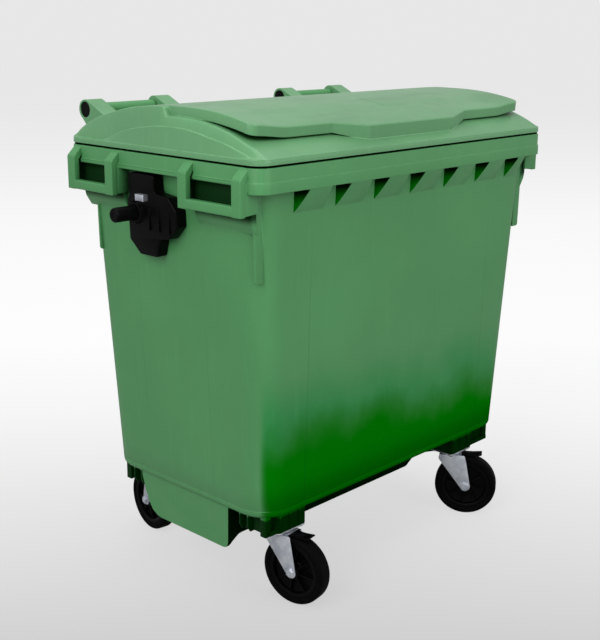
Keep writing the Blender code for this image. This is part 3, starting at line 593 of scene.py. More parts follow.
def plastic(name, base, rough, edge_wear_and_highlight, edge_wear_and_highlight_noise, edge_wear_and_highlight_span, is_tub):
    """Moulded polyethylene: grain, slow colour drift, upright drag lines painted lighter as
    sheen, paler edges that are partly wear and partly painted highlight, scratches.
    """
    mat = Shader(name)
    z = mat.position[2]
    drift = mat.ramp(mat.noise(scale=2.3, detail=4.0), span=(0.35, 0.68))
    color = mat.mix(drift, tinted(base, 0.95), tinted(base, 1.05))
    # painted shade: faces turned to the left are made a little darker
    left = mat.ramp(mat.facing[0], span=(-0.60, -0.95))
    color = mat.mix(left, color, tinted(base, 0.2), amount=0.10)
    if is_tub:
        # painted shade: the front wall darkens from mid height down to its foot
        middle, low, foot = front_shade_masks(mat)
        color = mat.mix(middle, color, FRONT_SHADE_MIDDLE, amount=0.95)
        color = paint_front_shade(mat, color, low, foot)
    # upright drag lines painted a little lighter, as sheen
    flow_sheen = mat.noise(scale=9.0, detail=3.0, rough=0.6, stretch=(6.0, 6.0, 0.55))
    flow_sheen = mat.ramp(flow_sheen, span=(0.52, 0.72))
    color = mat.mix(flow_sheen, color, tinted(base, 1.5, lift=0.02), amount=0.07)
    specks = mat.ramp(mat.noise(scale=420.0, detail=2.0, rough=0.7), span=(0.66, 0.74))
    color = mat.mix(specks, color, tinted(base, 0.45), amount=0.10)
    soft_normal = mat.bevel(radius=0.0022)
    # paler edges: partly wear, partly painted highlight
    worn = mat.times(mat.edge(soft_normal), mat.ramp(mat.noise(**edge_wear_and_highlight_noise), edge_wear_and_highlight_span))
    color = mat.mix(worn, color, tinted(base, 1.7, lift=0.06), amount=edge_wear_and_highlight)
    streaks = mat.noise(scale=30.0, detail=2.0, rough=0.5, stretch=(1.2, 1.2, 26.0))
    scratch = mat.times(mat.ramp(streaks, span=(0.69, 0.73)),
                        mat.ramp(mat.noise(scale=5.0, detail=2.0), span=(0.5, 0.62)),
                        mat.ramp(z, span=(0.50, 0.70)))
    color = mat.mix(scratch, color, tinted(base, 1.8, lift=0.08), amount=0.16)
    if is_tub:
        patches = mat.noise(scale=14.0, detail=5.0, rough=0.65)
        dust = mat.times(mat.ramp(z, span=(0.48, 0.20)), mat.ramp(patches, span=(0.40, 0.68)))
        color = mat.mix(dust, color, DUST, amount=0.03)
    # ambient occlusion, used below to paint shade into hollows
    occlusion = mat.new("ShaderNodeAmbientOcclusion", samples=8)
    occlusion.inputs["Distance"].default_value = 0.060
    enclosed = occlusion.outputs["AO"]
    if is_tub:
        color, shade = shade_tub(mat, color, enclosed, low, foot)
    else:
        color, shade = shade_lid(mat, color, enclosed)
    gloss, scratch_roughness = 0.42, 0.12
    specular = mat.times(mat.math("SUBTRACT", 1.0, shade), gloss)
    roughness = mat.scaled(mat.noise(scale=24.0, detail=4.0, rough=0.6), by=0.16, plus=rough)
    roughness = mat.math("ADD", roughness, mat.times(scratch, scratch_roughness), clamp=True)
    normal = mat.bump(mat.noise(scale=7.0, detail=2.0), soft_normal,
                      strength=0.10, distance=0.0020)
    normal = mat.bump(mat.noise(scale=1350.0, detail=2.0, rough=0.6), normal,
                      strength=0.10, distance=0.00022)
    normal = mat.bump(scratch, normal, strength=0.22, distance=0.0002)
    return mat.finish(color, roughness, normal, specular)


def black_plastic():
    mat = Shader("black_plastic")
    dark, light, worn = (0.00063,) * 3, (0.00135, 0.00135, 0.00144), (0.012, 0.012, 0.013)
    color = mat.mix(mat.ramp(mat.noise(scale=40.0, detail=4.0), span=(0.4, 0.7)), dark, light)
    soft_normal = mat.bevel(radius=0.0014)
    edge = mat.times(mat.edge(soft_normal),
                     mat.ramp(mat.noise(scale=60.0, detail=3.0), span=(0.45, 0.6)))
    color = mat.mix(edge, color, worn, amount=0.30)
    return mat.finish(
        color, mat.scaled(mat.noise(scale=70.0, detail=3.0), by=0.2, plus=0.30),
        mat.bump(mat.noise(scale=900.0, detail=2.0), soft_normal,
                 strength=0.12, distance=0.0003),
        specular=0.07)


def tyre_rubber():
    mat = Shader("tyre_rubber")
    dark, light, scuffed = (0.0006, 0.0006, 0.0007), (0.0022, 0.0021, 0.0020), (
        0.0050, 0.0048, 0.0046)
    drift = mat.ramp(mat.noise(scale=55.0, detail=5.0, rough=0.65), span=(0.4, 0.75))
    scuff = mat.ramp(mat.noise(scale=26.0, detail=4.0, rough=0.7), span=(0.58, 0.78))
    color = mat.mix(scuff, mat.mix(drift, dark, light), scuffed, amount=0.35)
    return mat.finish(
        color, mat.scaled(mat.noise(scale=90.0, detail=3.0), by=0.18, plus=0.58),
        mat.bump(mat.noise(scale=500.0, detail=3.0, rough=0.7), mat.bevel(radius=0.0012),
                 strength=0.25, distance=0.0004),
        specular=0.05)


def zinc_plate():
    """Bright zinc plate with a bluish passivation bloom."""
    mat = Shader("zinc_plate")
    dark, light = (0.50, 0.53, 0.60), (0.72, 0.74, 0.79)
    bright, dulled = (0.80, 0.83, 0.90), (0.36, 0.37, 0.39)
    cells = mat.new("ShaderNodeTexVoronoi", feature="F1")
    cells.inputs["Scale"].default_value = 160.0
    mat.put(cells.inputs["Vector"], mat.coords)
    drift = mat.ramp(mat.noise(scale=30.0, detail=4.0, rough=0.6), span=(0.35, 0.7))
    color = mat.mix(drift, dark, light)
    color = mat.mix(mat.split(cells.outputs["Color"])[0], color, bright, amount=0.16)
    dull_strength, dull_roughness = 0.30, 0.5
    dull = mat.ramp(mat.noise(scale=75.0, detail=5.0, rough=0.7), span=(0.55, 0.75))
    dull = mat.times(dull, dull_strength)
    color = mat.mix(dull, color, dulled)
    mat.bsdf.inputs["Metallic"].default_value = 0.88
    roughness = mat.scaled(mat.noise(scale=60.0, detail=4.0), by=0.25, plus=0.26)
    roughness = mat.math("ADD", roughness, mat.times(dull, dull_roughness), clamp=True)
    normal = mat.bump(mat.noise(scale=300.0, detail=3.0), mat.bevel(radius=0.0009),
                      strength=0.10, distance=0.0003)
    return mat.finish(color, roughness, normal)


# finishes: material, slot name
TUB_FINISH = (plastic("tub_polyethylene", TUB_GREEN, rough=0.34, edge_wear_and_highlight=0.35,
                      edge_wear_and_highlight_noise=dict(scale=38.0, detail=4.0, rough=0.65),
                      edge_wear_and_highlight_span=(0.42, 0.62), is_tub=True), "body_green")
# the lid's paler edges are turned up strongly as painted highlight
LID_FINISH = (plastic("lid_polyethylene", LID_GREEN_WITH_SHEEN, rough=0.26, edge_wear_and_highlight=0.75,
                      edge_wear_and_highlight_noise=dict(scale=22.0, detail=3.0),
                      edge_wear_and_highlight_span=(0.25, 0.50), is_tub=False), "lid_green")
BLACK = (black_plastic(), "black_plastic")
RUBBER = (tyre_rubber(), "tyre_rubber")
STEEL = (zinc_plate(), "zinc_steel")


# ------------------------------------------------------------ the tub
def wall(z, inset=0.0):
    """Half sizes and corner radius of the tapering wall at a height."""
    t = (z - Z_BASE) / (Z_SKIRT_FRONT - Z_BASE)
    return tuple(base + (top - base) * t - inset for base, top in zip(BASE, TOP))


def skirt(rise):
    """Height of the rim's lower edge plus rise; the edge is higher along the ends."""
    def height(x, y):
        end = clamp((abs(x) - 0.612) / 0.010) * clamp((0.345 - abs(y)) / 0.004)
        return Z_SKIRT_FRONT + (Z_SKIRT_SIDE - Z_SKIRT_FRONT) * end + rise
    return height


# rounded lower edge (half x, half y, corner radius, z)
FOOT = ((0.5345, 0.3060, 0.069, 0.2750), (0.5420, 0.3135, 0.076, 0.2757),
        (0.5485, 0.3200, 0.082, 0.2782), (0.5535, 0.3250, 0.087, 0.2820),
        (0.5570, 0.3285, 0.089, 0.2862))
# outer wall (z, inset); the inset makes a faint seam line above the foot
WALL_OUT = ((0.2915, 0.0), (0.2990, 0.0), (0.3003, 0.0008), (0.3016, 0.0), (0.36, 0.0),
            (0.48, 0.0), (0.60, 0.0), (0.72, 0.0), (0.84, 0.0), (0.96, 0.0), (1.06, 0.0),
            (1.14, 0.0), (1.20, 0.0), (1.231, 0.0))
# rim, from under the skirt round to the top (inset from RIM, z)
RIM_STATIONS = (
    (0.0050, 1.232), (0.0050, skirt(0.001)), (0.0045, skirt(0.0)), (0.0010, skirt(0.0)),
    (0.0, skirt(0.0012)), (0.0, skirt(0.010)), (0.0, 1.2045), (0.0004, 1.2062),
    (0.0021, 1.2074), (0.0025, 1.2092), (0.0025, 1.2385), (0.0030, 1.2405),
    (0.0050, Z_RIM_TOP))
WALL_IN_Z = (1.236, 1.10, 0.90, 0.70, 0.50, 0.31)


def carve(piece, make_cutter):
    """Cut a piece, trying other segment counts when the solver gives a wrong volume."""
    def volume(solid):
        bm = to_bmesh(*solid)
        result = bm.calc_volume(signed=True)
        bm.free()
        return result

    before = volume(piece)
    for n in (64, 60, 68, 56, 72, 50):
        result = to_piece(boolean(piece, [make_cutter(n)]))
        if before - 0.02 < volume(result) < before:
            return result
    return piece


def tub_shell():
    rings = [ring(*station) for station in FOOT]
    rings += [ring(*wall(z, inset), z) for z, inset in WALL_OUT]
    rings += [ring(*shrunk(RIM, inset), z) for inset, z in RIM_STATIONS]
    rings += [ring(0.6030, 0.3555, 0.066, Z_RIM_TOP), ring(0.6000, 0.3525, 0.064, 1.2410)]
    rings += [ring(*wall(z, WALL_T), z) for z in WALL_IN_Z]
    rings += [ring(0.549, 0.3205, 0.083, 0.295), ring(0.538, 0.3095, 0.073, 0.287)]
    shell = to_piece(boolean(loft(rings), [prism(SUMP, "x", -SUMP_HX, SUMP_HX)], "UNION"))
    scoops = [moved(lathe(SWEEP_IN, 64), x, y) for x, y, _ in CASTORS.values()]
    well = prism(SUMP_IN, "x", -SUMP_HX + 0.006, SUMP_HX - 0.006)
    shell = to_piece(boolean(shell, [to_piece(boolean(well, scoops))]))
    for x, y, _ in CASTORS.values():
        # the small shift with n keeps a retried cutter off the same surfaces
        shell = carve(shell, lambda n: moved(lathe(SWEEP, n), x + 0.00003 * n, y))
    return to_bmesh(*shell)


def comb():
    """Row of wedges under the front rim, slanted at their left ends."""
    section = ((-0.3480, 1.1900), (-0.3850, 1.1900), (-0.3866, 1.1772), (-0.3720, 1.1500),
               (-0.3600, 1.1290), (-0.3545, 1.1210), (-0.3512, 1.1165), (-0.3480, 1.1120))
    parts = []
    for i in range(COMB_COUNT):
        x = COMB_X0 + i * COMB_PITCH
        left = [(x + 0.70 * (-0.3480 - y), y, z) for y, z in section]
        right = [(min(x + COMB_WIDTH, 0.530), y, z) for y, z in section]
        parts.append(bridge(left, right, flip=True) + (0.0008,))
    return parts


def end_handles(side):
    """Two bar handles on one end, and two thin upright ribs under the rim."""
    out, z0 = HANDLE_OUT, HANDLE_Z0
    post = sided_outline(side, (out - 0.018, z0), (out, z0), (out, 1.2140), (0.6345, 1.2385),
                         (0.6295, 1.2385), (0.6295, 1.2210), (out - 0.018, 1.2030))
    post = rounded(post, 0.010, 5, only=(2,))
    web = sided_outline(side, (0.5970, z0 + 0.006), (out - 0.006, z0 + 0.002),
                        (out - 0.006, 1.2120), (0.6335, 1.2360), (0.5985, 1.2360))
    bar = sided_outline(side, (out - 0.0225, z0 + 0.0007), (out - 0.0007, z0 + 0.0007),
                        (out - 0.0007, z0 + HANDLE_BAR_TOP), (out - 0.0225, z0 + HANDLE_BAR_TOP))
    backing = sided_outline(side, (0.5955, 1.196), (0.6140, 1.196), (0.6140, 1.116),
                            (0.6095, 1.098), (0.5905, 1.068))
    rib = sided_outline(side, (0.565, 1.192), (0.6000, 1.192), (0.5945, 0.950),
                        (0.5900, 0.945), (0.565, 0.945))
    parts = []
    for y0, y1 in HANDLES:
        parts += [prism(post, "y", y0, y0 + HANDLE_POST) + (0.0036, 4),
                  prism(web, "y", y0 + 0.001, y0 + 0.009) + (0.0012,),
                  prism(post, "y", y1 - HANDLE_POST, y1) + (0.0036, 4),
                  prism(web, "y", y1 - 0.009, y1 - 0.001) + (0.0012,),
                  prism(bar, "y", y0 + 0.008, y1 - 0.008) + (0.0036, 4),
                  prism(backing, "y", y0 + 0.010, y1 - 0.010) + (0.0050, 3)]
    return parts + [prism(rib, "y", y - 0.0030, y + 0.0030) + (0.0008,)
                    for y in (-0.329, 0.300)]


def castor_housing(cx, cy):
    """Mounting block, ribs, corner post and closing webs round one castor."""
    sx, sy = (1 if cx > 0 else -1), (1 if cy > 0 else -1)
    top, low = Z_HOUSING_TOP, Z_MOUNT + 0.001
    block = box(cx - 0.0525, cx + 0.0525, cy - 0.0425, cy + 0.0425, Z_MOUNT, top)
    bore = moved(rod(0.0135, Z_MOUNT - 0.002, Z_MOUNT + 0.009, 28), cx, cy)
    parts = [boolean(block, [bore])]
    out_x, out_y = sx * 0.5410, sy * 0.3170

    def rib(start, out, slope):
        return (start, top), (out, top), (out, 0.240), (out - slope, low), (start, low)

    for y in (sy * 0.214, sy * 0.245):
        parts.append(prism(rib(cx, out_x, sx * 0.010), "x" if False else "y",
                           y - 0.0025, y + 0.0025) + (0.0008,))
    for x in (cx - 0.048, cx - 0.010, cx + 0.028):
        parts.append(prism(rib(cy, out_y, sy * 0.005), "x", x - 0.0025, x + 0.0025) + (0.0008,))
    px, py = sx * 0.5165, sy * 0.2905
    parts.append(box(px - 0.011, px + 0.011, py - 0.011, py + 0.011, Z_MOUNT - 0.004, top)
                 + (0.0030, 3))
    # webs behind the post, so that the pocket is not open right through; under the painted shade
    # of the housing they show only as a dark opening
    parts.append(box(*sorted((cx, px)), py - 0.0015, py + 0.0015, Z_MOUNT + 0.002, top)
                 + (0.0004, 1))
    parts.append(box(px - 0.0015, px + 0.0015, *sorted((sy * 0.214, py)), Z_MOUNT + 0.002, top)
                 + (0.0004, 1))
    web_y = out_y - sy * 0.0095
    parts.append(box(*sorted((cx - sx * 0.045, px)), web_y - 0.0015, web_y + 0.0015,
                     low, Z_MOUNT + 0.014) + (0.0005, 1))
    return parts


def hinge_knuckle(side):
    """Tube between the two lid lugs of one side, on two arms from the back rim."""
    x0, x1 = LUGS[0][1] + 0.003, LUGS[1][0] - 0.003
    bore, r = PIN_R + 0.0004, KNUCKLE_R
    tube = lathe(((bore, side * x0), (r - 0.001, side * x0), (r, side * (x0 + 0.001)),
                  (r, side * (x1 - 0.001)), (r - 0.001, side * x1), (bore, side * x1)), 40, "x")
    arm = ((0.3848, 1.185), (0.4000, 1.185), (0.4170, 1.215), (0.4185, 1.3235),
           (0.4130, 1.3170), (0.4050, 1.3145), (0.3950, 1.3180), (0.3905, 1.325),
           (0.3890, 1.237), (0.3848, 1.237))
    return [moved(tube, 0.0, HINGE_Y, HINGE_Z)] + [
        prism(arm, "x", side * x, side * (x + 0.028)) + (0.0012,)
        for x in (x0 + 0.006, x1 - 0.034)]


def build_tub():
    parts = [tub_shell()] + comb()
    for side, _ in SIDES:
        parts += end_handles(side)
    for x, y, _ in CASTORS.values():
        parts += castor_housing(x, y)
    for side, _ in SIDES:
        parts += hinge_knuckle(side)
    build("tub_moulding", parts, "bin", TUB_FINISH, cad="body_tub")


# ------------------------------------------------------------ the lid
CROWN = (0.6312, 0.3825, 0.041)         # outline at the foot of the crown
# distances in x of the stages of a lid end, from the outside in
END_FOOT, END_CREASE, END_LEDGE, END_BAND, END_CROWN = 0.6297, 0.6227, 0.6187, 0.6052, 0.5992
LEDGE_RISE, BAND_DROP = 0.0008, 0.0015
# insets of the rings over the crown
CROWN_STEPS = (
    0.0, 0.0015, 0.0060, 0.0070, 0.0080, 0.0085, 0.0125, 0.0130, 0.0145, 0.0180, 0.0215,
    0.0245, 0.0260, 0.0280, 0.0320, 0.040, 0.055, 0.075, 0.100, 0.130, 0.165, 0.205, 0.250,
    0.300, 0.345, 0.3735)
# rings of the lid edge (inset in x, in y, of the corner radius, z)
LID_EDGE = (
    (LID_T, LID_T, LID_T, Z_LID0), (0.0032, 0.0032, 0.0032, Z_LID0),
    (0.0030, 0.0030, 0.0030, Z_SPLIT), (0.0008, 0.0008, 0.0008, Z_SPLIT),
    (0.0, 0.0, 0.0, Z_SPLIT + 0.0008), (0.0, 0.0, 0.0, Z_BAND - 0.0052),
    (0.0002, 0.0006, 0.0006, Z_BAND - 0.0036), (0.0004, 0.0012, 0.0018, Z_BAND - 0.0030),
    (0.0006, 0.0016, 0.0026, Z_BAND - 0.0022))
LID_GRID = dict(nc=10, nx=10, ny=64)


def lid_level(y):
    if y >= -0.006:
        return curve_at(LID_RAISED, y)
    if y <= -0.022:
        return curve_at(LID_BASE, y)
    t = smoothstep(0.0, 1.0, (y + 0.006) / (-0.016))
    return LID_RAISED[-1][1] * (1 - t) + LID_BASE[0][1] * t


def lid_height(x, y):
    """Lid skin: a lower end panel under an arched crease, a set-back band, the crown."""
    x = abs(x)
    top = lid_level(y)
    arch = min(curve_at(ARCH, y), top - 0.004)
    if x >= END_FOOT:
        return Z_BAND
    if x >= END_CREASE:
        return Z_BAND + (arch - Z_BAND) * (END_FOOT - x) / 0.0070
    if x >= END_LEDGE:
        return arch + LEDGE_RISE * (END_CREASE - x) / 0.0040
    if x >= END_BAND:
        t = clamp((END_LEDGE - x) / 0.0135)
        ledge = arch + LEDGE_RISE
        return ledge + (top - BAND_DROP - ledge) * (1 - max(1 - t, 0.0) ** 1.35)
    if x >= END_CROWN:
        return top - BAND_DROP * ((x - END_CROWN) / 0.0060) ** 2
    return top


def lid_shell():
    def crown_size(step, inset):
        hx, hy, r = (v - step - inset for v in CROWN)
        return hx, hy, max(r, 0.006)

    def inner_height(x, y):
        return lid_height(abs(x) + LID_T * 1.2, y) - LID_T

    outer = [ring(LID[0] - in_x, LID[1] - in_y, LID[2] - in_r, z, **LID_GRID)
             for in_x, in_y, in_r, z in LID_EDGE]
    outer += [ring(*crown_size(step, 0.0), lid_height, **LID_GRID) for step in CROWN_STEPS]
    inner = [ring(*shrunk(LID, LID_T), Z_BAND - 0.003 - LID_T, **LID_GRID)]
    inner += [ring(*crown_size(step, LID_T), inner_height, **LID_GRID)
              for step in CROWN_STEPS[::2]]
    return loft(list(reversed(inner)) + outer)


def beside_tongue(x):
    """0 across the panel's middle tongue, 1 beyond it."""
    return clamp((x - 0.185) / 0.110)


def panel_front(x):
    """Front outline of the lid panel: a tongue in the middle, rounded corners at the ends."""
    y = -0.352 + 0.037 * beside_tongue(x)
    if x > 0.563:
        y += 0.022 * (1 - math.sqrt(max(1 - ((x - 0.563) / (PANEL_HX - 0.563)) ** 2, 0.0)))
    return y


def panel_point(x, y):
    """Height of the panel's top, with its rolled edge and raised square pad."""
    side_x, roll, edge_offset = abs(x), 0.0040, 0.0004
    t = smoothstep(0.450, 0.450 + 0.135, side_x)
    z = curve_at(PANEL, y) * (1 - t) + curve_at(PANEL_END, y) * t
    edge = min(PANEL_HX - side_x + edge_offset, y - panel_front(side_x) + edge_offset)
    if edge < roll and y < 0.0:
        z -= roll - math.sqrt(max(roll ** 2 - (roll - max(edge, 0.0)) ** 2, 0.0))
    pad = smoothstep(0.0, 0.004, x - 0.020) * smoothstep(0.0, 0.004, 0.130 - x)
    pad = pad * smoothstep(0.0, 0.004, y + 0.225) * smoothstep(0.0, 0.004, -0.125 - y)
    return z + 0.0016 * pad


def lid_panel(ny=72):
    """Panel over the front of the lid, a closed grid of columns along x."""
    half = [0.005 * i for i in range(1, 113)]
    half += [0.560 + (PANEL_HX - 0.560) * math.sin(math.pi / 2 * i / 14) for i in range(1, 15)]
    xs = [-x for x in reversed(half)] + [0.0] + half
    top, bottom = [], []
    for x in xs:
        front = panel_front(abs(x))
        beside = beside_tongue(abs(x))
        lip = PANEL_LIP_MIDDLE * (1 - beside) + PANEL_LIP_SIDE * beside
        for j in range(ny + 1):
            t = 1 - (1 - j / ny) ** 1.35
            y = 0.018 + (front - 0.018) * t
            z = panel_point(x, y)
            low_y = y + (0.0015 if t > 0.985 else 0.0)
            top.append((x, y, z))
            bottom.append((x, low_y, max(z - lip, lid_level(low_y) - 0.0022)))
    nx, w, n = len(xs) - 1, ny + 1, len(top)
    faces = []
    for i in range(nx):
        for j in range(ny):
            a, b, c, d = i * w + j, (i + 1) * w + j, (i + 1) * w + j + 1, i * w + j + 1
            faces += [(a, b, c, d), (n + d, n + c, n + b, n + a)]
    for i in range(nx):
        a, b = i * w, (i + 1) * w
        faces += [(a, n + a, n + b, b), (a + ny, b + ny, n + b + ny, n + a + ny)]
    for j in range(ny):
        e = nx * w + j
        faces += [(j, j + 1, n + j + 1, n + j), (e, n + e, n + e + 1, e + 1)]
    return top + bottom, faces


def hinge_lug(side, x0, x1):
    angles = [math.radians(-60 + 7.25 * k) for k in range(25)]
    outline = [(HINGE_Y + LUG_R * math.cos(a), HINGE_Z + LUG_R * math.sin(a)) for a in angles]
    outline += [(0.300, 1.3115), (0.290, 1.309), (0.336, 1.288), (0.3810, 1.2585),
                (0.3930, 1.2750), (0.4040, 1.2900)]
    cuts = [rod(PIN_R + 0.0004, side * (x0 - 0.01), side * (x1 + 0.01), 32, "x")]
    if x1 > 0.5:
        # recess for the pin head in the outer lug
        cuts.append(rod(PIN_HEAD_R + 0.0004, side * 0.544, side * 0.562, 40, "x"))
    return boolean(prism(outline, "x", side * x0, side * x1),
                   [moved(cut, 0.0, HINGE_Y, HINGE_Z) for cut in cuts])


def build_lid():
    parts = [lid_shell(), lid_panel()]
    parts += [hinge_lug(side, x0, x1) for side, _ in SIDES for x0, x1 in LUGS]
    build("lid_moulding", parts, "lid", LID_FINISH, cad="lid")


def build_hinge_pin(side, tag):
    pin = lathe(((0.0, 0.247), (PIN_R - 0.001, 0.247), (PIN_R, 0.248), (PIN_R, 0.5444),
                 (PIN_HEAD_R - 0.0006, 0.5444), (PIN_HEAD_R, 0.5450), (PIN_HEAD_R, 0.5492),
                 (PIN_HEAD_R - 0.001, 0.5500), (0.0, 0.5500)), 40, "x")
    cap = lathe(((0.0, 0.2428), (0.0200, 0.2428), (0.0212, 0.2434), (0.0212, 0.2447),
                 (0.0, 0.2447)), 40, "x")
    parts = [moved(sided(piece, side), 0.0, HINGE_Y, HINGE_Z) for piece in (pin, cap)]
    build("hinge_pin_vis_" + tag, parts, "bin", BLACK)


# ------------------------------------------------------------ trunnions
# bracket plate on the end wall (y, z)
BRACKET = ((0.113, 1.188), (0.113, 1.126), (0.121, 1.116), (0.121, 1.005), (0.080, 0.968),
           (0.010, 0.968), (-0.006, 1.020), (-0.042, 1.024), (-0.078, 1.060),
           (-0.078, 1.103), (-0.048, 1.136), (0.006, 1.142), (0.006, 1.188))


def build_trunnion(side, tag):
    outline = rounded(BRACKET, 0.008)
    inner, outer = ([(side * (wall(z)[0] + gap), y, z) for y, z in outline]
                    for gap in (0.0006, 0.0360))
    boss = lathe(((0.0, 0.600), (0.0335, 0.600), (0.0325, 0.632), (0.0275, 0.6400),
                  (0.0, 0.6400)), 40, "x")
    parts = [bridge(inner, outer) + (0.0040, 3),
             moved(sided(boss, side), 0.0, TRUNNION_Y, TRUNNION_Z)]
    # stiffening ribs on the plate
    for y in (0.030, -0.010, -0.050):
        parts.append(box(*sorted((side * 0.6290, side * 0.6345)), y - 0.002, y + 0.002,
                         1.040, 1.100) + (0.0012,))
    build("trunnion_bracket_vis_" + tag, parts, "bin", BLACK)

    r, tip = TRUNNION_R, TRUNNION_TIP
    pin = lathe(((0.0, 0.606), (0.016, 0.606), (0.016, 0.6404), (0.0225, 0.6404),
                 (0.0225, 0.6440), (r, 0.650), (r, tip - 0.005), (r - 0.0012, tip - 0.0020),
                 (r - 0.004, tip), (0.008, tip), (0.007, tip - 0.0015), (0.0, tip - 0.0015)),
                48, "x")
    build("trunnion_pin_vis_" + tag, [moved(sided(pin, side), 0.0, TRUNNION_Y, TRUNNION_Z)],
          "bin", BLACK)
    clip = prism(((0.033, 1.118), (0.067, 1.118), (0.067, 1.136), (0.033, 1.136)),
                 "x", side * 0.6225, side * 0.650)
    build("trunnion_lock_vis_" + tag, [clip + (0.0016, 3)], "bin", STEEL)


# ------------------------------------------------------------ castors
def build_mount(tag, base, swivel):
    """Top plate, four bolts, kingpin and ball race."""
    hx, hy = PLATE_LX / 2, PLATE_LY / 2
    outline = rounded(((-hx, -hy), (hx, -hy), (hx, hy), (-hx, hy)), 0.010, 5)
    plate = prism(outline, "z", Z_PLATE, Z_PLATE + PLATE_T)
    build("castor_plate_vis_" + tag, [plate + (0.0007,)], "bin", STEEL, base)
    z = Z_PLATE - 0.0004
    head = lathe(((0.0, z - 0.0048), (0.0050, z - 0.0048), (0.0068, z - 0.0045),
                  (0.0075, z - 0.0038), (0.0075, z - 0.0010), (0.0, z - 0.0010)), 6)
    washer = lathe(((0.0, z - 0.0010), (0.0078, z - 0.0010), (0.0080, z - 0.0007),
                    (0.0080, z), (0.0, z)), 28)
    places = [(x, y) for x in (-BOLT_DX, BOLT_DX) for y in (-BOLT_DY, BOLT_DY)]
    for i, (x, y) in enumerate(places, start=1):
        # odd bolts are black; their finish keeps the steel slot name
        finish = (BLACK[0], STEEL[1]) if i % 2 else STEEL
        build("castor_bolt_vis_%s_%d" % (tag, i), [moved(head, x, y), moved(washer, x, y)],
              "bin", finish, base)
    kingpin = lathe(((0.0, 0.1945), (0.0090, 0.1945), (0.0105, 0.1952), (0.0110, 0.1968),
                     (0.0110, 0.2020), (0.0062, 0.2020), (0.0062, 0.2222), (0.0120, 0.2222),
                     (0.0120, 0.2290), (0.0, 0.2290)), 28)
    build("castor_kingpin_vis_" + tag, [kingpin], "bin", STEEL, base)
    race = lathe(((0.0068, 0.2070), (0.0300, 0.2070), (0.0345, 0.2078), (0.0360, 0.2095),
                  (0.0362, 0.2112), (0.0352, 0.2120), (0.0352, 0.2128), (0.0362, 0.2136),
                  (0.0360, 0.2152), (0.0345, 0.2168), (0.0320, 0.2173), (0.0068, 0.2173)), 48)
    build("castor_race_vis_" + tag, [race], "castor_" + tag, STEEL, swivel)


def build_fork(tag, swivel):
    cheek = [(-0.032, Z_CROWN), (-0.036, Z_CROWN - 0.010), (-0.033, 0.188)]
    for k in range(17):
        a = math.radians(200 + 10 * k)
        cheek.append((TRAIL + 0.0165 * math.cos(a), WHEEL_R + 0.0165 * math.sin(a)))
    cheek += [(0.0560, 0.180), (0.0500, Z_CROWN)]
    n = len(cheek)
    cheek = rounded(cheek, 0.007, only=(0, 1, 2, n - 2, n - 1))
    crown = rounded(((-0.0335, -0.0314), (0.0385, -0.0314), (0.0385, 0.0314),
                     (-0.0335, 0.0314)), 0.006)
    parts = [prism(cheek, "y", -0.0315, -0.0285) + (0.0009,),
             prism(cheek, "y", 0.0285, 0.0315) + (0.0009,),
             prism(crown, "z", Z_CROWN - 0.004, Z_CROWN - 0.0001) + (0.0014, 3)]
    for side in (-1, 1):
        # pressed boss round the axle
        boss = lathe(((0.0084, side * 0.0312), (0.0135, side * 0.0312),
                      (0.0128, side * 0.0319), (0.0084, side * 0.0319)), 32, "y")
        parts.append(moved(boss, TRAIL, 0.0, WHEEL_R))
    build("castor_fork_vis_" + tag, parts, "castor_" + tag, STEEL, swivel)


def build_wheel(tag, axle):
    h = TYRE_W / 2
    half = [(0.0795, -h + 0.0030), (0.0800, -h + 0.0018), (0.0830, -h + 0.0004),
            (0.0860, -h), (0.0905, -h + 0.0004)]
    for k in range(1, 9):
        a = math.radians(-90 + 11.25 * k)
        half.append((0.0905 + 0.0095 * math.cos(a), -h + 0.0099 + 0.0095 * math.sin(a)))
    profile = half + [(0.10005, -0.005), (0.10005, 0.005)] + [(r, -y) for r, y in reversed(half)]
    build("wheel_tyre_vis_" + tag, [lathe(profile, 128, "y")], "wheel_" + tag, RUBBER, axle)

    half = [(0.0086, -0.0275), (0.0200, -0.0275), (0.0213, -0.0268), (0.0235, -0.0080),
            (0.0255, -0.0066), (0.0620, -0.0060), (0.0650, -0.0072), (0.0672, -0.0190),
            (0.0690, -0.0202), (0.0785, -0.0205), (0.0792, -0.0198)]
    parts = [lathe(half + [(r, -y) for r, y in reversed(half)], 72, "y")]
    for i in range(8):
        turn = Matrix.Rotation(math.radians(45 * i + 10), 4, "Y")
        for side in (-1, 1):
            verts, faces = prism(((0.020, side * 0.004), (0.067, side * 0.004),
                                  (0.067, side * 0.0150), (0.020, side * 0.0215)),
                                 "z", -0.0016, 0.0016)
            parts.append(([tuple(turn @ Vector(p)) for p in verts], faces, 0.0006, 1))
    build("wheel_core_vis_" + tag, parts, "wheel_" + tag, BLACK, axle)


def build_axle(tag, axle):
    head = lathe(((0.0, -0.0380), (0.0095, -0.0380), (0.0122, -0.0374), (0.0130, -0.0364),
                  (0.0130, -0.0330), (0.0, -0.0330)), 6, "y")
    washer = lathe(((0.0, -0.0330), (0.0140, -0.0330), (0.0145, -0.0327),
                    (0.0145, -0.0319), (0.0, -0.0319)), 36, "y")
    shank = rod(0.0078, -0.0325, 0.0408, 28, "y", chamfer=0.001)
    build("axle_bolt_vis_" + tag, [head, washer, shank], "castor_" + tag, STEEL, axle)
    nut = lathe(((0.0078, 0.0330), (0.0130, 0.0330), (0.0130, 0.0372), (0.0118, 0.0380),
                 (0.0092, 0.0384), (0.0078, 0.0378)), 6, "y")
    washer = lathe(((0.0080, 0.0319), (0.0145, 0.0319), (0.0145, 0.0327),
                    (0.0140, 0.0330), (0.0080, 0.0330)), 36, "y")
    build("axle_nut_vis_" + tag, [nut, washer], "castor_" + tag, STEEL, axle)


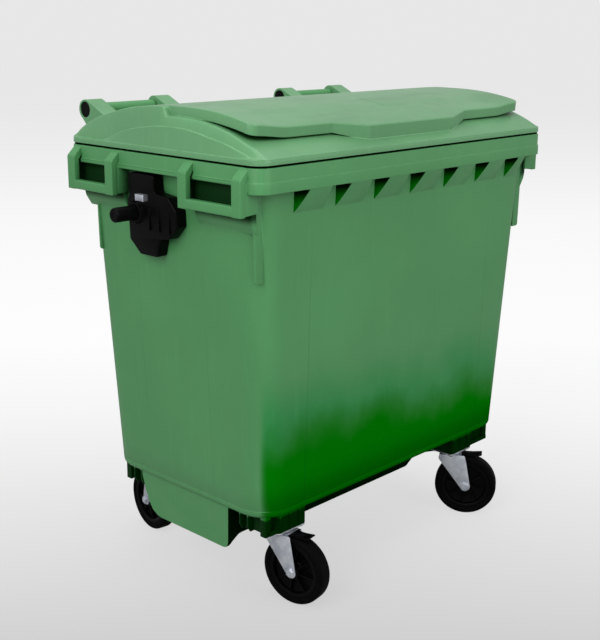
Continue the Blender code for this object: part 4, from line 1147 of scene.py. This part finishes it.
def build_pedal(tag, swivel):
    tread = prism(((-0.0020, -0.0012), (0.0300, -0.0012), (0.0560, 0.0012), (0.0600, 0.0030),
                   (0.0580, 0.0062), (0.0300, 0.0032), (-0.0020, 0.0028)),
                  "y", -0.0180, 0.0180)
    pivot = rod(0.0028, -0.0282, 0.0282, 24, "y", chamfer=0.0005)
    build("brake_pedal_vis_" + tag, [tread + (0.0007,), pivot], "brake_" + tag, BLACK,
          swivel @ Matrix.Translation((0.0445, 0.0, 0.2045)))


build_tub()
build_lid()
for side, side_name in SIDES:
    build_hinge_pin(side, side_name)
for side, side_name in SIDES:
    build_trunnion(side, side_name)
for tag, (x, y, angle) in CASTORS.items():
    base = ROOT @ Matrix.Translation((x, y, 0.0))
    swivel = base @ Matrix.Rotation(math.radians(angle), 4, "Z")
    axle = swivel @ Matrix.Translation((TRAIL, 0.0, WHEEL_R))
    build_mount(tag, base, swivel)
    build_fork(tag, swivel)
    build_wheel(tag, axle)
    build_axle(tag, axle)
    if tag in ("fl", "fr"):
        build_pedal(tag, swivel)

# ------------------------------------------------------------ floor
FLOOR_HALF, FLOOR_Z = 60, -0.0006
BACKDROP = 0.80                         # grey of the backdrop and glow of the floor
# floor grey up the picture (share of its height, grey)
FLOOR_GREYS = ((0.0, 0.625), (1.0, 0.800), (0.22, 0.800), (0.36, 0.930), (0.47, 1.0),
               (0.66, 1.0), (0.85, 0.900))


def grey(value):
    return (value,) * 3


def floor_material():
    """Glows for the camera, is plain and darker for other rays, fades into the backdrop."""
    mat = Shader("floor_pale")
    mat.tree.nodes.remove(mat.bsdf)
    window = mat.new("ShaderNodeTexCoord").outputs["Window"]
    greys = mat.new("ShaderNodeValToRGB")
    stops = greys.color_ramp.elements
    for i, (place, value) in enumerate(FLOOR_GREYS):
        stop = stops[i] if i < 2 else stops.new(place)
        stop.position = place
        stop.color = grey(value) + (1,)
    mat.put(greys.inputs["Fac"], mat.split(window)[1])
    color = mat.mix(mat.noise(scale=3.0, detail=3.0), greys.outputs["Color"], grey(0.9),
                    amount=0.02)
    seen = mat.new("ShaderNodeLightPath").outputs["Is Camera Ray"]
    glow = mat.new("ShaderNodeEmission")
    mat.put(glow.inputs["Color"], color)
    mat.put(glow.inputs["Strength"], mat.times(seen, BACKDROP))
    diffuse = mat.new("ShaderNodeBsdfDiffuse")
    seen_grey, unseen_tint = grey(0.42), grey(0.20)
    unseen = mat.mix(1.0, color, unseen_tint, blend="MULTIPLY")
    mat.put(diffuse.inputs["Color"], mat.mix(seen, seen_grey, unseen))
    near = mat.new("ShaderNodeAddShader")
    mat.put(near.inputs[0], glow.outputs[0])
    mat.put(near.inputs[1], diffuse.outputs[0])
    distance = mat.new("ShaderNodeCameraData").outputs["View Distance"]
    far = mat.new("ShaderNodeEmission")
    far.inputs["Color"].default_value = grey(BACKDROP) + (1,)
    blend = mat.new("ShaderNodeMixShader")
    mat.put(blend.inputs["Fac"], mat.ramp(distance, span=(7.0, 24.0)))
    mat.put(blend.inputs[1], near.outputs[0])
    mat.put(blend.inputs[2], far.outputs[0])
    mat.put(mat.tree.nodes["Material Output"].inputs["Surface"], blend.outputs[0])
    return mat.material


def stage_floor():
    mesh = bpy.data.meshes.new("floor")
    h = FLOOR_HALF
    mesh.from_pydata([(-h, -h, 0), (h, -h, 0), (h, h, 0), (-h, h, 0)], [], [(0, 1, 2, 3)])
    ob = bpy.data.objects.new("floor", mesh)
    bpy.context.scene.collection.objects.link(ob)
    ob.location = (0.0, 0.0, FLOOR_Z)
    mesh.materials.append(floor_material())


# ------------------------------------------------------------ world, lights, camera
def light_world():
    """Even grey light, with the backdrop grey for the camera."""
    world = bpy.data.worlds.new("studio")
    scene.world = world
    world.use_nodes = True
    tree = world.node_tree
    background = tree.nodes["Background"]
    path = tree.nodes.new("ShaderNodeLightPath")
    mix = tree.nodes.new("ShaderNodeMix")
    mix.data_type = "RGBA"
    mix.inputs["A"].default_value = grey(0.62) + (1,)
    mix.inputs["B"].default_value = grey(BACKDROP) + (1,)
    tree.links.new(path.outputs["Is Camera Ray"], mix.inputs["Factor"])
    tree.links.new(mix.outputs["Result"], background.inputs["Color"])
    background.inputs["Strength"].default_value = 1.0


def area(name, location, target_z, size, power):
    light = bpy.data.lights.new(name, "AREA")
    light.shape, light.energy = "RECTANGLE", power
    light.size, light.size_y = size
    ob = bpy.data.objects.new(name, light)
    scene.collection.objects.link(ob)
    ob.location = location
    aim = Vector((0, 0, target_z)) - Vector(location)
    ob.rotation_euler = aim.to_track_quat("-Z", "Y").to_euler()


def place_camera(location, yaw, pitch, roll, lens):
    """Angles in radians; yaw turns from +Y towards +X, pitch looks down."""
    camera = bpy.data.cameras.new("cam")
    ob = bpy.data.objects.new("cam", camera)
    scene.collection.objects.link(ob)
    camera.sensor_width, camera.sensor_fit = 36.0, "AUTO"
    camera.lens = lens
    camera.clip_start, camera.clip_end = 0.05, 200.0
    ahead = Vector((math.sin(yaw) * math.cos(pitch), math.cos(yaw) * math.cos(pitch),
                    -math.sin(pitch)))
    level = Vector((math.cos(yaw), -math.sin(yaw), 0.0))
    upright = level.cross(ahead)
    right = level * math.cos(roll) + upright * math.sin(roll)
    up = upright * math.cos(roll) - level * math.sin(roll)
    matrix = Matrix((right, up, -ahead)).transposed().to_4x4()
    matrix.translation = location
    ob.matrix_world = matrix
    scene.camera = ob


scene = bpy.context.scene
stage_floor()
light_world()
area("key_left", location=(-4.5, -1.2, 3.6), target_z=0.8, size=(3.0, 3.0), power=150)
area("front_fill", location=(0.5, -5.5, 3.0), target_z=0.8, size=(3.5, 3.0), power=90)
area("top", location=(0.3, 0.4, 5.0), target_z=1.0, size=(3.5, 3.5), power=60)
place_camera(location=(-2.491, -2.26808, 1.599), yaw=math.radians(46.845),
             pitch=math.radians(15.334), roll=0.009, lens=62.77595625)
scene.view_settings.view_transform = "Standard"
scene.view_settings.look = "None"
